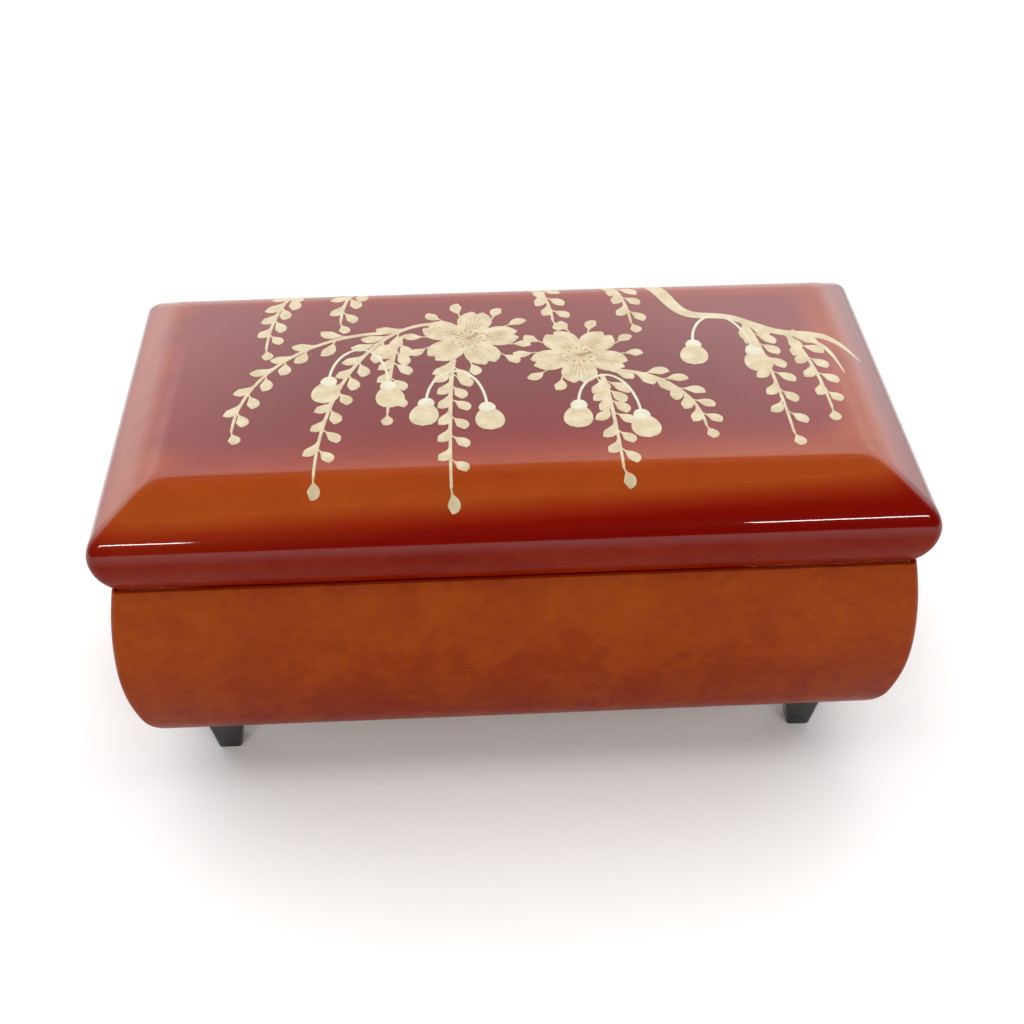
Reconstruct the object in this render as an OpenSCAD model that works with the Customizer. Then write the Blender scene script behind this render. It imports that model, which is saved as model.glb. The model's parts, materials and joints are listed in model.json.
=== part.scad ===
// Wind-up musical jewellery box: a lacquered case with bulging mitred sides, a thick bevelled lid on
// butt hinges, a velvet-lined interior with a lid mirror, and an 18-note movement wound from below.
// Millimetres. +X is to the right, the front faces -Y, +Z is up, and the feet stand on Z = 0.

/* [Case] */
// Width of the closed box at the widest line of the lid
case_w = 212; // [200:1:224]
// Depth of the closed box at the widest line of the lid
case_d = 114; // [108:1:118]
// Height of the lower face of the lip under the bottom board
case_floor_z = 18; // [16:1:20]
// Height of the case's top rim
rim_z = 78.3; // [76:0.1:80]
// How far the widest part of the bulging sides sits inside the lid's widest line
side_inset = 0.9; // [0.8:0.05:2]
// Height at which the sides bulge most
bulge_z = 50; // [48:1:52]
// Radius of the side's curve above the bulge
upper_bulge_r = 135; // [120:5:200]
// Radius of the side's curve below the bulge
lower_bulge_r = 78; // [70:1:90]
// Radius of the roll under the bottom edge
roll_r = 17; // [15:0.1:18]
// Radius of the softened top edge of the sides
rim_round_r = 1.2; // [0.6:0.1:1.6]
// Distance from the lid's widest line to the inner face of each wall
wall_inset = 11; // [10:0.5:12]
// Thickness of the bottom lip that carries the bottom board
lip_t = 3; // [2.5:0.5:3.5]
// Distance from the lid's widest line to the lip's inner edge
lip_inset = 28; // [28:0.5:30]
// Thickness of the bottom board
board_t = 3; // [2.5:0.5:3.5]

/* [Feet] */
// Distance between the left and right foot centres
foot_span_x = 167.2; // [160:0.2:172]
// Distance between the front and rear foot centres
foot_span_y = 67.4; // [62:0.2:70]
// Side of a foot where it meets the case
foot_top = 12; // [10:0.5:13]
// Side of a foot where it meets the table
foot_bottom = 6.6; // [5:0.2:8]

/* [Lid] */
// Height of the lid's flat top
lid_top_z = 103.5; // [102:0.5:106]
// Height of the lid's widest line
lid_wide_z = 89.8; // [89:0.1:91]
// Radius of the rounded edge below the widest line
lid_nose_r = 20; // [18:0.5:24]
// Radius of the shoulder between the widest line and the bevel
lid_shoulder_r = 8; // [6:0.5:9]
// Radius of the rounding between the bevel and the flat top
lid_brow_r = 14; // [6:0.5:15]
// Angle of the bevel above the horizontal
bevel_angle = 34; // [30:1:36]
// Gap between the case rim and the lid
lid_gap = 0.2; // [0.1:0.1:0.4]
// Distance from the lid's widest line to the wall of its recess
lid_wall = 14; // [13.5:0.5:15]
// Height of the recess ceiling inside the lid
lid_ceiling_z = 97; // [95:0.5:98]
// Half length of the mirror
mirror_half_x = 70; // [60:1:76]
// Half width of the mirror
mirror_half_y = 27; // [22:1:30]

/* [Hinges] */
// Distance from the centre plane to each hinge
hinge_x = 58; // [50:1:66]
// Length of a hinge along the lid
hinge_w = 22; // [18:1:26]
// Height of the hinge line
hinge_z = 78.4; // [78.4:0.1:78.4]
// Distance of the hinge line behind the centre plane
hinge_y = 54.6; // [54.4:0.1:54.8]
// Outer radius of a hinge knuckle
knuckle_r = 1.5; // [1.3:0.1:1.6]
// Radius of a hinge pin
hinge_pin_r = 0.7; // [0.6:0.1:0.8]

/* [Interior] */
// Position of the partition between the jewel compartment and the movement
partition_x = 20; // [10:1:20]
// Height of the partition's top edge
partition_top = 74; // [70:1:76]
// Thickness of the lining
lining_t = 1.8; // [1.2:0.1:2.4]
// Position of the divider between the ring rolls and the open compartment
divider_y = -12; // [-16:1:-8]
// Height of the clear cover over the movement
cover_z = 56; // [54:1:60]

/* [Movement] */
// Position of the movement's centre, to the right of the case's centre
move_x = 52; // [51:0.5:53]
// Position of the movement's centre, behind the case's centre
move_y = 4; // [0:0.5:6]
// Number of comb teeth
note_count = 18; // [18:1:18]
// Spacing of the comb teeth
note_pitch = 1.1; // [1:0.05:1.12]
// Radius of the pinned cylinder
drum_r = 6; // [5.6:0.1:6]
// Teeth on the drive wheel's crown
crown_teeth = 30; // [30:1:30]
// Teeth on the cylinder's pinion
pinion_teeth = 8; // [8:1:8]
// Teeth on the cylinder's end wheel
end_teeth = 30; // [30:1:30]
// Teeth on the governor's pinion
gov_teeth = 10; // [10:1:10]
// Teeth on the worm wheel
worm_teeth = 20; // [20:1:20]
// Radius of the winding arbor
arbor_r = 1.6; // [1.4:0.1:1.8]
// Running clearance of every shaft in its bearing
run_gap = 0.05; // [0.03:0.01:0.08]

/* [Hidden] */
$fn = 48;

half_w = case_w / 2;
half_d = case_d / 2;
lid_bottom_z = rim_z + lid_gap;
board_z = case_floor_z + lip_t;
floor_z = board_z + board_t;
inner_x = half_w - wall_inset;
inner_y = half_d - wall_inset;
slack = 0.1;
over = 1;

lacquer = [0.55, 0.17, 0.07];
raw_wood = [0.72, 0.56, 0.38];
black = [0.09, 0.08, 0.09];
velvet = [0.42, 0.05, 0.09];
brass = [0.80, 0.64, 0.30];
steel = [0.66, 0.67, 0.69];
nickel = [0.78, 0.78, 0.76];
clear = [0.85, 0.92, 0.95, 0.4];

// Points on an arc, from angle a to angle b
function arc(c, r, a, b, n) = [for (i = [0:n]) c + r * [cos(a + (b - a) * i / n), sin(a + (b - a) * i / n)]];

// ---- Sections of the case and lid: [inset from the widest line, height] ----

rim_steps = 4;
curve_steps = 8;
roll_steps = 12;
nose_steps = 10;
brow_steps = 6;
rim_round_end = 170;
rim_inset = side_inset + upper_bulge_r - sqrt(pow(upper_bulge_r, 2) - pow(rim_z - bulge_z, 2));
roll_start_z = 30;
roll_start_a = asin((bulge_z - roll_start_z) / lower_bulge_r);
roll_c = [side_inset + lower_bulge_r - (lower_bulge_r - roll_r) * cos(roll_start_a),
    bulge_z - (lower_bulge_r - roll_r) * sin(roll_start_a)];
under_z = roll_c[1] - roll_r;
upper_a = asin((rim_z - rim_round_r - bulge_z) / upper_bulge_r);

function side_curve() = concat(
    arc([rim_inset + rim_round_r, rim_z - rim_round_r], rim_round_r, 90, rim_round_end,
        rim_steps),
    arc([side_inset + upper_bulge_r, bulge_z], upper_bulge_r, 180 - upper_a, 180,
        curve_steps),
    [for (i = [1:curve_steps]) let (a = roll_start_a * i / curve_steps)
        [side_inset + lower_bulge_r * (1 - cos(a)), bulge_z - lower_bulge_r * sin(a)]],
    [for (i = [1:roll_steps]) let (a = roll_start_a + (90 - roll_start_a) * i / roll_steps)
        roll_c - roll_r * [cos(a), sin(a)]]);

function side_section() = concat(side_curve(),
    [[lip_inset, under_z], [lip_inset, board_z], [wall_inset, board_z], [wall_inset, rim_z]]);

nose_a = asin((lid_wide_z - lid_bottom_z) / lid_nose_r);
shoulder_end = [lid_shoulder_r * (1 - sin(bevel_angle)), lid_wide_z + lid_shoulder_r * cos(bevel_angle)];
brow_corner = shoulder_end[0] + (lid_top_z - shoulder_end[1]) / tan(bevel_angle);
brow_x = brow_corner + lid_brow_r * tan(bevel_angle / 2);

function lid_curve() = concat(
    [for (i = [0:nose_steps - 1]) let (a = nose_a * (1 - i / nose_steps))
        [lid_nose_r * (1 - cos(a)), lid_wide_z - lid_nose_r * sin(a)]],
    arc([lid_shoulder_r, lid_wide_z], lid_shoulder_r, 180, 90 + bevel_angle, curve_steps),
    arc([brow_x, lid_top_z - lid_brow_r], lid_brow_r, 90 + bevel_angle, 90, brow_steps));

// Full lid outline for one direction, half the width given
function lid_section(half) = concat([for (p = lid_curve()) [p[0] - half, p[1]]],
    [for (i = [len(lid_curve()) - 1:-1:0]) [half - lid_curve()[i][0], lid_curve()[i][1]]]);

// ---- Case ----

// A 2D outline in the YZ plane, extruded along X between x0 and x1
module along_x(x0, x1) {
    translate([x0, 0, 0]) rotate([90, 0, 90]) linear_extrude(height = x1 - x0) children();
}

// A box given by its lowest and highest corners
module block(lo, hi) {
    translate(lo) cube(hi - lo);
}

// A cylinder along X from x0 to x1 whose axis passes through y, z
module rod_x(x0, x1, y, z, r) {
    translate([x0, y, z]) rotate([0, 90, 0]) cylinder(h = x1 - x0, r = r);
}

// One mitred side, standing along the front edge of a rectangle with these half sizes
module side_panel(half_len, half_wid) {
    k = lip_inset + over;
    intersection() {
        along_x(-half_len, half_len) polygon([for (p = side_section()) [p[0] - half_wid, p[1]]]);
        linear_extrude(height = rim_z + over) polygon([[-half_len, -half_wid], [half_len, -half_wid],
            [half_len - k, k - half_wid], [k - half_len, k - half_wid]]);
    }
}

// The four foot positions
module at_feet() {
    for (sx = [-1, 1], sy = [-1, 1]) translate([sx * foot_span_x / 2, sy * foot_span_y / 2, 0]) children();
}

foot_screw_r = 1.25;
foot_screw_low = 8;
foot_head_r = 2.5;
screw_head_t = 1.4;
slot_half = 0.3;
slot_deep = 0.6;

// A screwdriver slot across a screw's head, upwards from height z0 to z1
module driver_slot(z0, z1) {
    block([-foot_head_r - over, -slot_half, z0], [foot_head_r + over, slot_half, z1]);
}

module foot_screw_holes() {
    at_feet() translate([0, 0, foot_screw_low])
        cylinder(h = floor_z - foot_screw_low + over, r = foot_screw_r);
}

module front_panel() {
    color(lacquer) difference() {
        side_panel(half_w, half_d);
        foot_screw_holes();
    }
}

module back_panel() {
    color(lacquer) difference() {
        rotate([0, 0, 180]) side_panel(half_w, half_d);
        foot_screw_holes();
        hinge_pocket(rim_z - leaf_t, rim_z + over);
        case_leaf_screws(0);
        guide_screws(0);
    }
}

module left_end() {
    color(lacquer) difference() {
        rotate([0, 0, -90]) side_panel(half_d, half_w);
        foot_screw_holes();
    }
}

module right_end() {
    color(lacquer) difference() {
        rotate([0, 0, 90]) side_panel(half_d, half_w);
        foot_screw_holes();
    }
}

key_hole_r = 5;

module bottom_board() {
    color(raw_wood) difference() {
        block([-inner_x + slack, -inner_y + slack, board_z], [inner_x - slack, inner_y - slack, floor_z]);
        at_feet() translate([0, 0, board_z - over]) cylinder(h = board_t + 2 * over, r = foot_screw_r);
        at_feet() translate([0, 0, floor_z - screw_head_t])
            cylinder(h = screw_head_t + over, r = foot_head_r + slack);
        translate([barrel_x, barrel_y, board_z - over]) cylinder(h = board_t + 2 * over, r = key_hole_r);
        at_posts() translate([0, 0, board_z - over]) cylinder(h = board_t + 2 * over, r = post_screw_r);
    }
}

module feet() {
    color(black) difference() {
        at_feet() translate([0, 0, under_z]) mirror([0, 0, 1])
            linear_extrude(height = under_z, scale = foot_bottom / foot_top) square(foot_top, center = true);
        foot_screw_holes();
    }
}

module foot_screws() {
    color(steel) at_feet() {
        translate([0, 0, foot_screw_low])
            cylinder(h = floor_z - screw_head_t - foot_screw_low, r = foot_screw_r);
        difference() {
            translate([0, 0, floor_z - screw_head_t]) cylinder(h = screw_head_t, r = foot_head_r);
            driver_slot(floor_z - slot_deep, floor_z + over);
        }
    }
}

// ---- Hinges ----

leaf_t = 0.8;
leaf_reach = 8;
leaf_front_y = hinge_y - leaf_reach;
leaf_back_y = hinge_y - knuckle_r - 0.15;
leaf_screw_y = hinge_y - 5;
leaf_screw_r = 0.8;
leaf_screw_len = 8;
leaf_head_r = 1.5;
leaf_head_t = 0.6;
knuckle_gap = 0.1;
knuckle_room = 0.2;
web = 0.5;
pin_end = 0.3;
third = hinge_w / 3;

module at_hinges() {
    for (s = [-1, 1]) translate([s * hinge_x, 0, 0]) children();
}

// The shallow cut that lets a leaf and its knuckles into the wood, between two heights
module hinge_pocket(z0, z1) {
    at_hinges() {
        block([-hinge_w / 2 - slack, leaf_front_y - slack, z0], [hinge_w / 2 + slack, hinge_y, z1]);
        rod_x(-hinge_w / 2 - slack, hinge_w / 2 + slack, hinge_y, hinge_z, knuckle_r + knuckle_room);
    }
}

// One knuckle between x0 and x1, joined to a leaf that reaches from height z0 to z1
module knuckle(x0, x1, z0, z1, bore) {
    difference() {
        union() {
            rod_x(x0, x1, hinge_y, hinge_z, knuckle_r);
            block([x0, leaf_back_y - web, z0], [x1, hinge_y, z1]);
        }
        rod_x(x0 - over, x1 + over, hinge_y, hinge_z, bore);
    }
}

module case_leaf_screws(grow) {
    at_hinges() for (s = [-1, 1]) translate([s * third, leaf_screw_y, 0]) {
        translate([0, 0, rim_z - leaf_screw_len]) cylinder(h = leaf_screw_len, r = leaf_screw_r + grow);
        translate([0, 0, rim_z - leaf_head_t]) cylinder(h = leaf_head_t, r = leaf_head_r + grow);
    }
}

module lid_leaf_screws(grow) {
    at_hinges() for (s = [-1, 1]) translate([s * third, leaf_screw_y, 0]) {
        translate([0, 0, lid_bottom_z]) cylinder(h = leaf_screw_len, r = leaf_screw_r + grow);
        translate([0, 0, lid_bottom_z]) cylinder(h = leaf_head_t, r = leaf_head_r + grow);
    }
}

module hinge_case_leaves() {
    color(brass) difference() {
        at_hinges() {
            block([-hinge_w / 2, leaf_front_y, rim_z - leaf_t], [hinge_w / 2, leaf_back_y, rim_z]);
            for (s = [-1, 1]) translate([s * third, 0, 0])
                knuckle(knuckle_gap - third / 2, third / 2 - knuckle_gap, rim_z - leaf_t, rim_z,
                    hinge_pin_r);
        }
        case_leaf_screws(0);
    }
}

module hinge_lid_leaves() {
    color(brass) difference() {
        at_hinges() {
            block([-hinge_w / 2, leaf_front_y, lid_bottom_z],
                [hinge_w / 2, leaf_back_y, lid_bottom_z + leaf_t]);
            knuckle(-third / 2 + knuckle_gap, third / 2 - knuckle_gap, lid_bottom_z, lid_bottom_z + leaf_t,
                hinge_pin_r + run_gap);
        }
        lid_leaf_screws(0);
    }
}

module hinge_pins() {
    color(steel) at_hinges() rod_x(-hinge_w / 2 - pin_end, hinge_w / 2 + pin_end, hinge_y, hinge_z,
        hinge_pin_r);
}

module hinge_case_screws() {
    color(brass) case_leaf_screws(0);
}

module hinge_lid_screws() {
    color(brass) lid_leaf_screws(0);
}

// ---- Lid ----

lid_lining_t = 2.5;
mirror_t = 1.8;
frame_t = 2.4;
frame_w = 5;
frame_lap = 1.5;
lid_lining_z = lid_ceiling_z - lid_lining_t;

module lid_shell() {
    color(lacquer) difference() {
        intersection() {
            along_x(-half_w, half_w) polygon(lid_section(half_d));
            rotate([0, 0, 90]) along_x(-half_d, half_d) polygon(lid_section(half_w));
        }
        block([lid_wall - half_w, lid_wall - half_d, lid_bottom_z - over],
            [half_w - lid_wall, half_d - lid_wall, lid_ceiling_z]);
        hinge_pocket(lid_bottom_z - over, lid_bottom_z + leaf_t);
        lid_leaf_screws(0);
    }
}

module lid_lining() {
    color(velvet) block([lid_wall - half_w + slack, lid_wall - half_d + slack, lid_lining_z],
        [half_w - lid_wall - slack, half_d - lid_wall - slack, lid_ceiling_z]);
}

module lid_mirror() {
    color(nickel) block([-mirror_half_x, -mirror_half_y, lid_lining_z - mirror_t],
        [mirror_half_x, mirror_half_y, lid_lining_z]);
}

module mirror_frame() {
    color(brass) difference() {
        block([-mirror_half_x - frame_w, -mirror_half_y - frame_w, lid_lining_z - frame_t],
            [mirror_half_x + frame_w, mirror_half_y + frame_w, lid_lining_z]);
        block([-mirror_half_x, -mirror_half_y, lid_lining_z - mirror_t],
            [mirror_half_x, mirror_half_y, lid_lining_z + over]);
        block([-mirror_half_x + frame_lap, -mirror_half_y + frame_lap, lid_lining_z - frame_t - over],
            [mirror_half_x - frame_lap, mirror_half_y - frame_lap, lid_lining_z + over]);
    }
}

// ---- Interior ----

lining_x0 = -inner_x + slack;
lining_x1 = partition_x - slack;
lining_y = inner_y - slack;
lining_top = 76;
roll_top = 62;
roll_count = 3;
roll_gap = 0.15;
divider_t = 2;
divider_rise = 4;
partition_t = 2;

module compartment_lining() {
    color(velvet) difference() {
        block([lining_x0, -lining_y, floor_z], [lining_x1, lining_y, lining_top]);
        block([lining_x0 + lining_t, -lining_y + lining_t, floor_z + lining_t],
            [lining_x1 - lining_t, lining_y - lining_t, lining_top + over]);
        translate([0, 0, partition_top]) block([lining_x1 - lining_t - over, -lining_y - over, 0],
            [lining_x1 + over, lining_y + over, over + lining_top - partition_top]);
    }
}

module compartment_divider() {
    color(velvet) block([lining_x0 + lining_t, divider_y - divider_t / 2, floor_z + lining_t],
        [lining_x1 - lining_t, divider_y + divider_t / 2, roll_top + divider_rise]);
}

// Upright padded rolls side by side; a ring's shank is pushed down between two of them
module ring_rolls() {
    y0 = -lining_y + lining_t;
    pitch = (divider_y - divider_t / 2 - y0) / roll_count;
    r = pitch / 2 - roll_gap;
    for (i = [0:roll_count - 1]) color(velvet)
        along_x(lining_x0 + lining_t + 2 * roll_gap, lining_x1 - lining_t - 2 * roll_gap) union() {
            translate([y0 + pitch * (i + 0.5), roll_top - r]) circle(r = r);
            translate([y0 + pitch * (i + 0.5) - r, floor_z + lining_t])
                square([2 * r, roll_top - r - floor_z - lining_t]);
        }
}

module partition() {
    color(raw_wood) block([partition_x, -inner_y + slack, floor_z], [partition_x + partition_t,
        inner_y - slack, partition_top]);
}

ledge = 4;
ledge_gap = 5;
room_x0 = partition_x + partition_t;
cover_t = 2;
notch_half = 2.5;
finger_hole_in = 12;
finger_hole_r = 5;

// Strips under the edges of the clear cover
module cover_ledges() {
    color(raw_wood) {
        block([room_x0, -inner_y, cover_z - ledge], [inner_x, -inner_y + ledge, cover_z]);
        block([room_x0, inner_y - ledge, cover_z - ledge], [stop_x - ledge_gap, inner_y, cover_z]);
        block([stop_x + ledge_gap, inner_y - ledge, cover_z - ledge], [inner_x, inner_y, cover_z]);
        block([inner_x - ledge, -inner_y + ledge, cover_z - ledge], [inner_x, inner_y - ledge, cover_z]);
    }
}

module clear_cover() {
    color(clear) difference() {
        block([room_x0 + slack, -inner_y + slack, cover_z], [inner_x - slack, inner_y - slack,
            cover_z + cover_t]);
        block([stop_x - notch_half, stop_y - notch_half, cover_z - over],
            [stop_x + notch_half, inner_y + over, cover_z + cover_t + over]);
        translate([room_x0 + finger_hole_in, -inner_y + finger_hole_in, cover_z - over])
            cylinder(h = cover_t + 2 * over, r = finger_hole_r);
    }
}

stop_rod_r = 1.1;
stop_wire_z = 47.5;
stop_wire_r = 0.5;
stop_gap = 0.4;
guide_t = 0.8;
guide_half = 4.6;
guide_low = cover_z - 8;
guide_top = cover_z - 2;
eye_half = 2.2;
eye_t = 1.2;
guide_screw_x = 3.4;
guide_screw_z = cover_z - 6;
guide_screw_r = 0.6;
guide_head_r = 1.1;

// Where the guide's two screws go
module guide_screws(grow) {
    for (s = [-1, 1]) translate([stop_x + s * guide_screw_x, 0, guide_screw_z]) rotate([-90, 0, 0]) {
        translate([0, 0, inner_y - guide_t]) cylinder(h = 5, r = guide_screw_r + grow);
        translate([0, 0, inner_y - guide_t - leaf_head_t])
            cylinder(h = leaf_head_t, r = guide_head_r + grow);
    }
}

module stop_guide() {
    color(brass) difference() {
        union() {
            block([stop_x - guide_half, inner_y - guide_t, guide_low],
                [stop_x + guide_half, inner_y, guide_top]);
            block([stop_x - eye_half, stop_y - eye_half, guide_top - eye_t],
                [stop_x + eye_half, inner_y, guide_top]);
        }
        translate([stop_x, stop_y, guide_low - over])
            cylinder(h = cover_z - guide_low, r = stop_rod_r + run_gap);
        guide_screws(0);
    }
}

module stop_guide_screws() {
    color(brass) guide_screws(0);
}

stop_rod_tail = 2;

// The upright rod's shape, which the wire is fitted to
module stop_rod_shape() {
    translate([stop_x, stop_y, stop_wire_z - stop_rod_tail])
        cylinder(h = rim_z - stop_wire_z + stop_rod_tail, r = stop_rod_r);
}

module stop_rod() {
    color(steel) stop_rod_shape();
}

module stop_wire() {
    color(steel) difference() {
        translate([stop_x, fan_y + fan_sweep + stop_gap, stop_wire_z]) rotate([-90, 0, 0])
            cylinder(h = stop_y - fan_y - fan_sweep - stop_gap, r = stop_wire_r);
        stop_rod_shape();
    }
}

// ---- Movement ----

post_h = 3;
bed_z = floor_z + post_h;
bed_t = 2.2;
bed_top = bed_z + bed_t;
bed_x0 = -26;
bed_x1 = 30;
bed_y = 20;

drum_clear = 0.8;
axis_z = bed_top + drum_clear + drum_r;
barrel_x = move_x - 13;
barrel_y = move_y;
barrel_r = 11;
barrel_wall = 0.7;
barrel_z = bed_top + 2.8;
barrel_h = 12;

crown_module = 0.8;
crown_r = crown_module * crown_teeth / 2;
pinion_r = crown_module * pinion_teeth / 2;
pinion_add = 0.7;
pinion_ded = 1.2;
pinion_root = 0.8;
pinion_tip = 0.45;
crown_ded = 1.1;
crown_top = axis_z - pinion_r + pinion_add;
crown_root = axis_z - pinion_r - crown_ded;
crown_web = 1.4;
crown_tooth_half = 0.28;
crown_tooth_in = 0.65;
crown_tooth_out = 0.75;
crown_tooth_sunk = 0.2;
crown_rim = 0.85;
wheel_z = crown_root - crown_web;

end_module = 0.4;
end_r = end_module * end_teeth / 2;
gov_r = end_module * gov_teeth / 2;
gov_dist = end_r + gov_r;
gov_dy = 7.2;
gov_dz = sqrt(gov_dist * gov_dist - gov_dy * gov_dy);
mesh_a = atan2(gov_dz, gov_dy);
gov_y = move_y + gov_dy;
gov_z = axis_z + gov_dz;

worm_wheel_r = 5;
worm_lead = 2 * PI * worm_wheel_r / worm_teeth;
worm_r = 1.6;
fan_x = move_x + 25.3;
fan_y = gov_y + worm_wheel_r + worm_r;
fan_sweep = 6.5;
hub_t = 1.4;
hub_below = 0.6;
fan_z = bed_top + 16.4;
fan_h = 5;
fan_half_t = 0.3;
fan_hub_r = 1.3;

stop_x = fan_x;
stop_y = inner_y - 1.6;
drum_x0 = move_x + 1.5;
drum_x1 = move_x + 21.5;
end_x = move_x + 21.9;
mid_x = move_x + 23.3;
worm_wheel_x = move_x + 24.4;
right_x = move_x + 27.6;
bridge_z = bed_top + 14.6;
bridge_t = 0.8;

post_r = 3;
post_screw_r = 1.3;
post_head_r = 2.6;
housing_post_y = 15.4;
housing_post_r = 1.8;
strap_half = 1.8;
strap_t = 1.4;
strap_gap = 0.6;
small_screw_r = 0.9;
small_head_r = 1.6;
comb_screw_r = 1;
comb_head_r = 1.8;
comb_head_t = 1.1;
arbor_low = board_z - 8;

bed_posts = [[-22, -16], [-22, 16], [14, 16]];
comb_screw_xs = [5, 11.5, 18];
comb_screw_y = -16;
comb_screw_len = 12;
governor_screw_x = 25.8;
governor_screw_ys = [5.4, 18.4];
small_head_t = 0.9;
through = 4;
arbor_top = barrel_z + barrel_h;

// The bedplate's mounting posts
module at_posts() {
    for (p = bed_posts) translate([move_x + p[0], move_y + p[1], 0]) children();
}

module at_housing_posts() {
    for (s = [-1, 1]) translate([barrel_x, barrel_y + s * housing_post_y, 0]) children();
}

module at_comb_screws() {
    for (x = comb_screw_xs) translate([move_x + x, move_y + comb_screw_y, 0]) children();
}

module at_governor_screws() {
    for (y = governor_screw_ys) translate([move_x + governor_screw_x, move_y + y, 0]) children();
}

// A wheel outline with thin straight-sided teeth, one of them at angle a
module wheel_outline(n, rp, add, ded, t_root, t_tip, a) {
    rr = rp - ded;
    rt = rp + add;
    hr = asin(t_root / 2 / rr);
    ht = asin(t_tip / 2 / rt);
    polygon([for (i = [0:n - 1]) let (c = a + i * 360 / n)
        for (p = [[rr, -hr], [rt, -ht], [rt, ht], [rr, hr]])
        p[0] * [cos(c + p[1]), sin(c + p[1])]]);
}

module bedplate() {
    color(nickel) difference() {
        union() {
            block([move_x + bed_x0, move_y - bed_y, bed_z], [move_x + bed_x1, move_y + bed_y, bed_top]);
            at_posts() translate([0, 0, floor_z]) cylinder(h = post_h, r = post_r);
        }
        translate([barrel_x, barrel_y, floor_z]) cylinder(h = 2 * bed_t + post_h, r = arbor_r + run_gap);
        at_posts() translate([0, 0, floor_z - over]) cylinder(h = post_h + 2 * over, r = post_screw_r);
        at_housing_posts() translate([0, 0, bed_z - over]) cylinder(h = bed_t + 2 * over, r = small_screw_r);
        at_comb_screws() translate([0, 0, bed_z - over]) cylinder(h = bed_t + 2 * over, r = comb_screw_r);
        at_governor_screws() translate([0, 0, bed_z - over])
            cylinder(h = bed_t + 2 * over, r = small_screw_r);
    }
}

module movement_screws() {
    color(steel) at_posts() {
        translate([0, 0, board_z]) cylinder(h = board_t + post_h, r = post_screw_r);
        difference() {
            translate([0, 0, board_z - screw_head_t]) cylinder(h = screw_head_t, r = post_head_r);
            driver_slot(board_z - screw_head_t - over, board_z - screw_head_t + slot_deep);
        }
    }
}

module spring_housing() {
    color(nickel) difference() {
        union() {
            translate([barrel_x, barrel_y, barrel_z]) cylinder(h = barrel_h, r = barrel_r);
            at_housing_posts() translate([0, 0, bed_top])
                cylinder(h = crown_top - bed_top + strap_gap + strap_t, r = housing_post_r);
            block([barrel_x - strap_half, barrel_y - housing_post_y, crown_top + strap_gap],
                [barrel_x + strap_half, barrel_y + housing_post_y, crown_top + strap_gap + strap_t]);
        }
        translate([barrel_x, barrel_y, barrel_z - over]) cylinder(h = barrel_h, r = barrel_r - barrel_wall);
        translate([barrel_x, barrel_y, barrel_z]) cylinder(h = barrel_h + over, r = arbor_r + run_gap);
        at_housing_posts() translate([0, 0, bed_z]) cylinder(h = barrel_h, r = small_screw_r);
    }
}

module housing_screws() {
    color(steel) at_housing_posts() {
        translate([0, 0, bed_z]) cylinder(h = crown_top + strap_gap + strap_t - bed_z, r = small_screw_r);
        translate([0, 0, crown_top + strap_gap + strap_t]) cylinder(h = 1, r = small_head_r);
    }
}

spring_turns = 6;
spring_steps = 20;
spring_t = 0.35;
spring_in = 3.2;
spring_out = barrel_r - barrel_wall - 0.4;

// A point on the coiled strip: angle in degrees, side 0 or 1
function coil(a, side) = (spring_in + (spring_out - spring_t - spring_in) * a / (360 * spring_turns)
    + side * spring_t) * [cos(a), sin(a)];

module mainspring() {
    n = spring_turns * spring_steps;
    color(steel) translate([barrel_x, barrel_y, barrel_z + 1]) linear_extrude(height = barrel_h - 3)
        polygon(concat([for (i = [0:n]) coil(i * 360 / spring_steps, 0)],
            [for (i = [n:-1:0]) coil(i * 360 / spring_steps, 1)]));
}

module winding_arbor() {
    color(steel) translate([barrel_x, barrel_y, arbor_low]) cylinder(h = arbor_top - arbor_low, r = arbor_r);
}

key_low = 3.5;
key_half_t = 0.9;
key_hub_r = 3.2;
lobe_r = 5.2;
lobe_x = 6.2;
lobe_hole_r = 2.5;
lobe_hole_x = 6.8;
key_web_low = 2.4;
key_web_h = 8;

// A two-lobed handle with a hole in each lobe, on a threaded hub
module winding_key() {
    color(brass) translate([barrel_x, barrel_y, 0]) difference() {
        union() {
            translate([0, 0, arbor_low - 1]) cylinder(h = board_z - 1 - arbor_low, r = key_hub_r);
            rotate([90, 0, 0]) translate([0, 0, -key_half_t])
                linear_extrude(height = 2 * key_half_t) difference() {
                union() {
                    for (s = [-1, 1]) translate([s * lobe_x, key_low + lobe_r]) circle(r = lobe_r);
                    translate([-lobe_x, key_low + key_web_low]) square([2 * lobe_x, key_web_h]);
                }
                for (s = [-1, 1]) translate([s * lobe_hole_x, key_low + lobe_r]) circle(r = lobe_hole_r);
            }
        }
        translate([0, 0, arbor_low]) cylinder(h = board_z, r = arbor_r);
    }
}

// Drive wheel with a ring of upright crown teeth, a gap facing the cylinder
module drive_wheel() {
    color(brass) translate([barrel_x, barrel_y, 0]) difference() {
        union() {
            translate([0, 0, wheel_z]) cylinder(h = crown_root - wheel_z, r = crown_r + crown_rim);
            for (i = [0:crown_teeth - 1]) rotate([0, 0, (i + 0.5) * 360 / crown_teeth])
                block([crown_r - crown_tooth_in, -crown_tooth_half, crown_root - crown_tooth_sunk],
                    [crown_r + crown_tooth_out, crown_tooth_half, crown_top]);
        }
        translate([0, 0, wheel_z - over]) cylinder(h = through, r = arbor_r);
    }
}

ratchet_t = 0.8;
ratchet_r = 4.6;
ratchet_teeth = 16;
ratchet_deep = 0.8;
ratchet_lean = 0.12;

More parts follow.
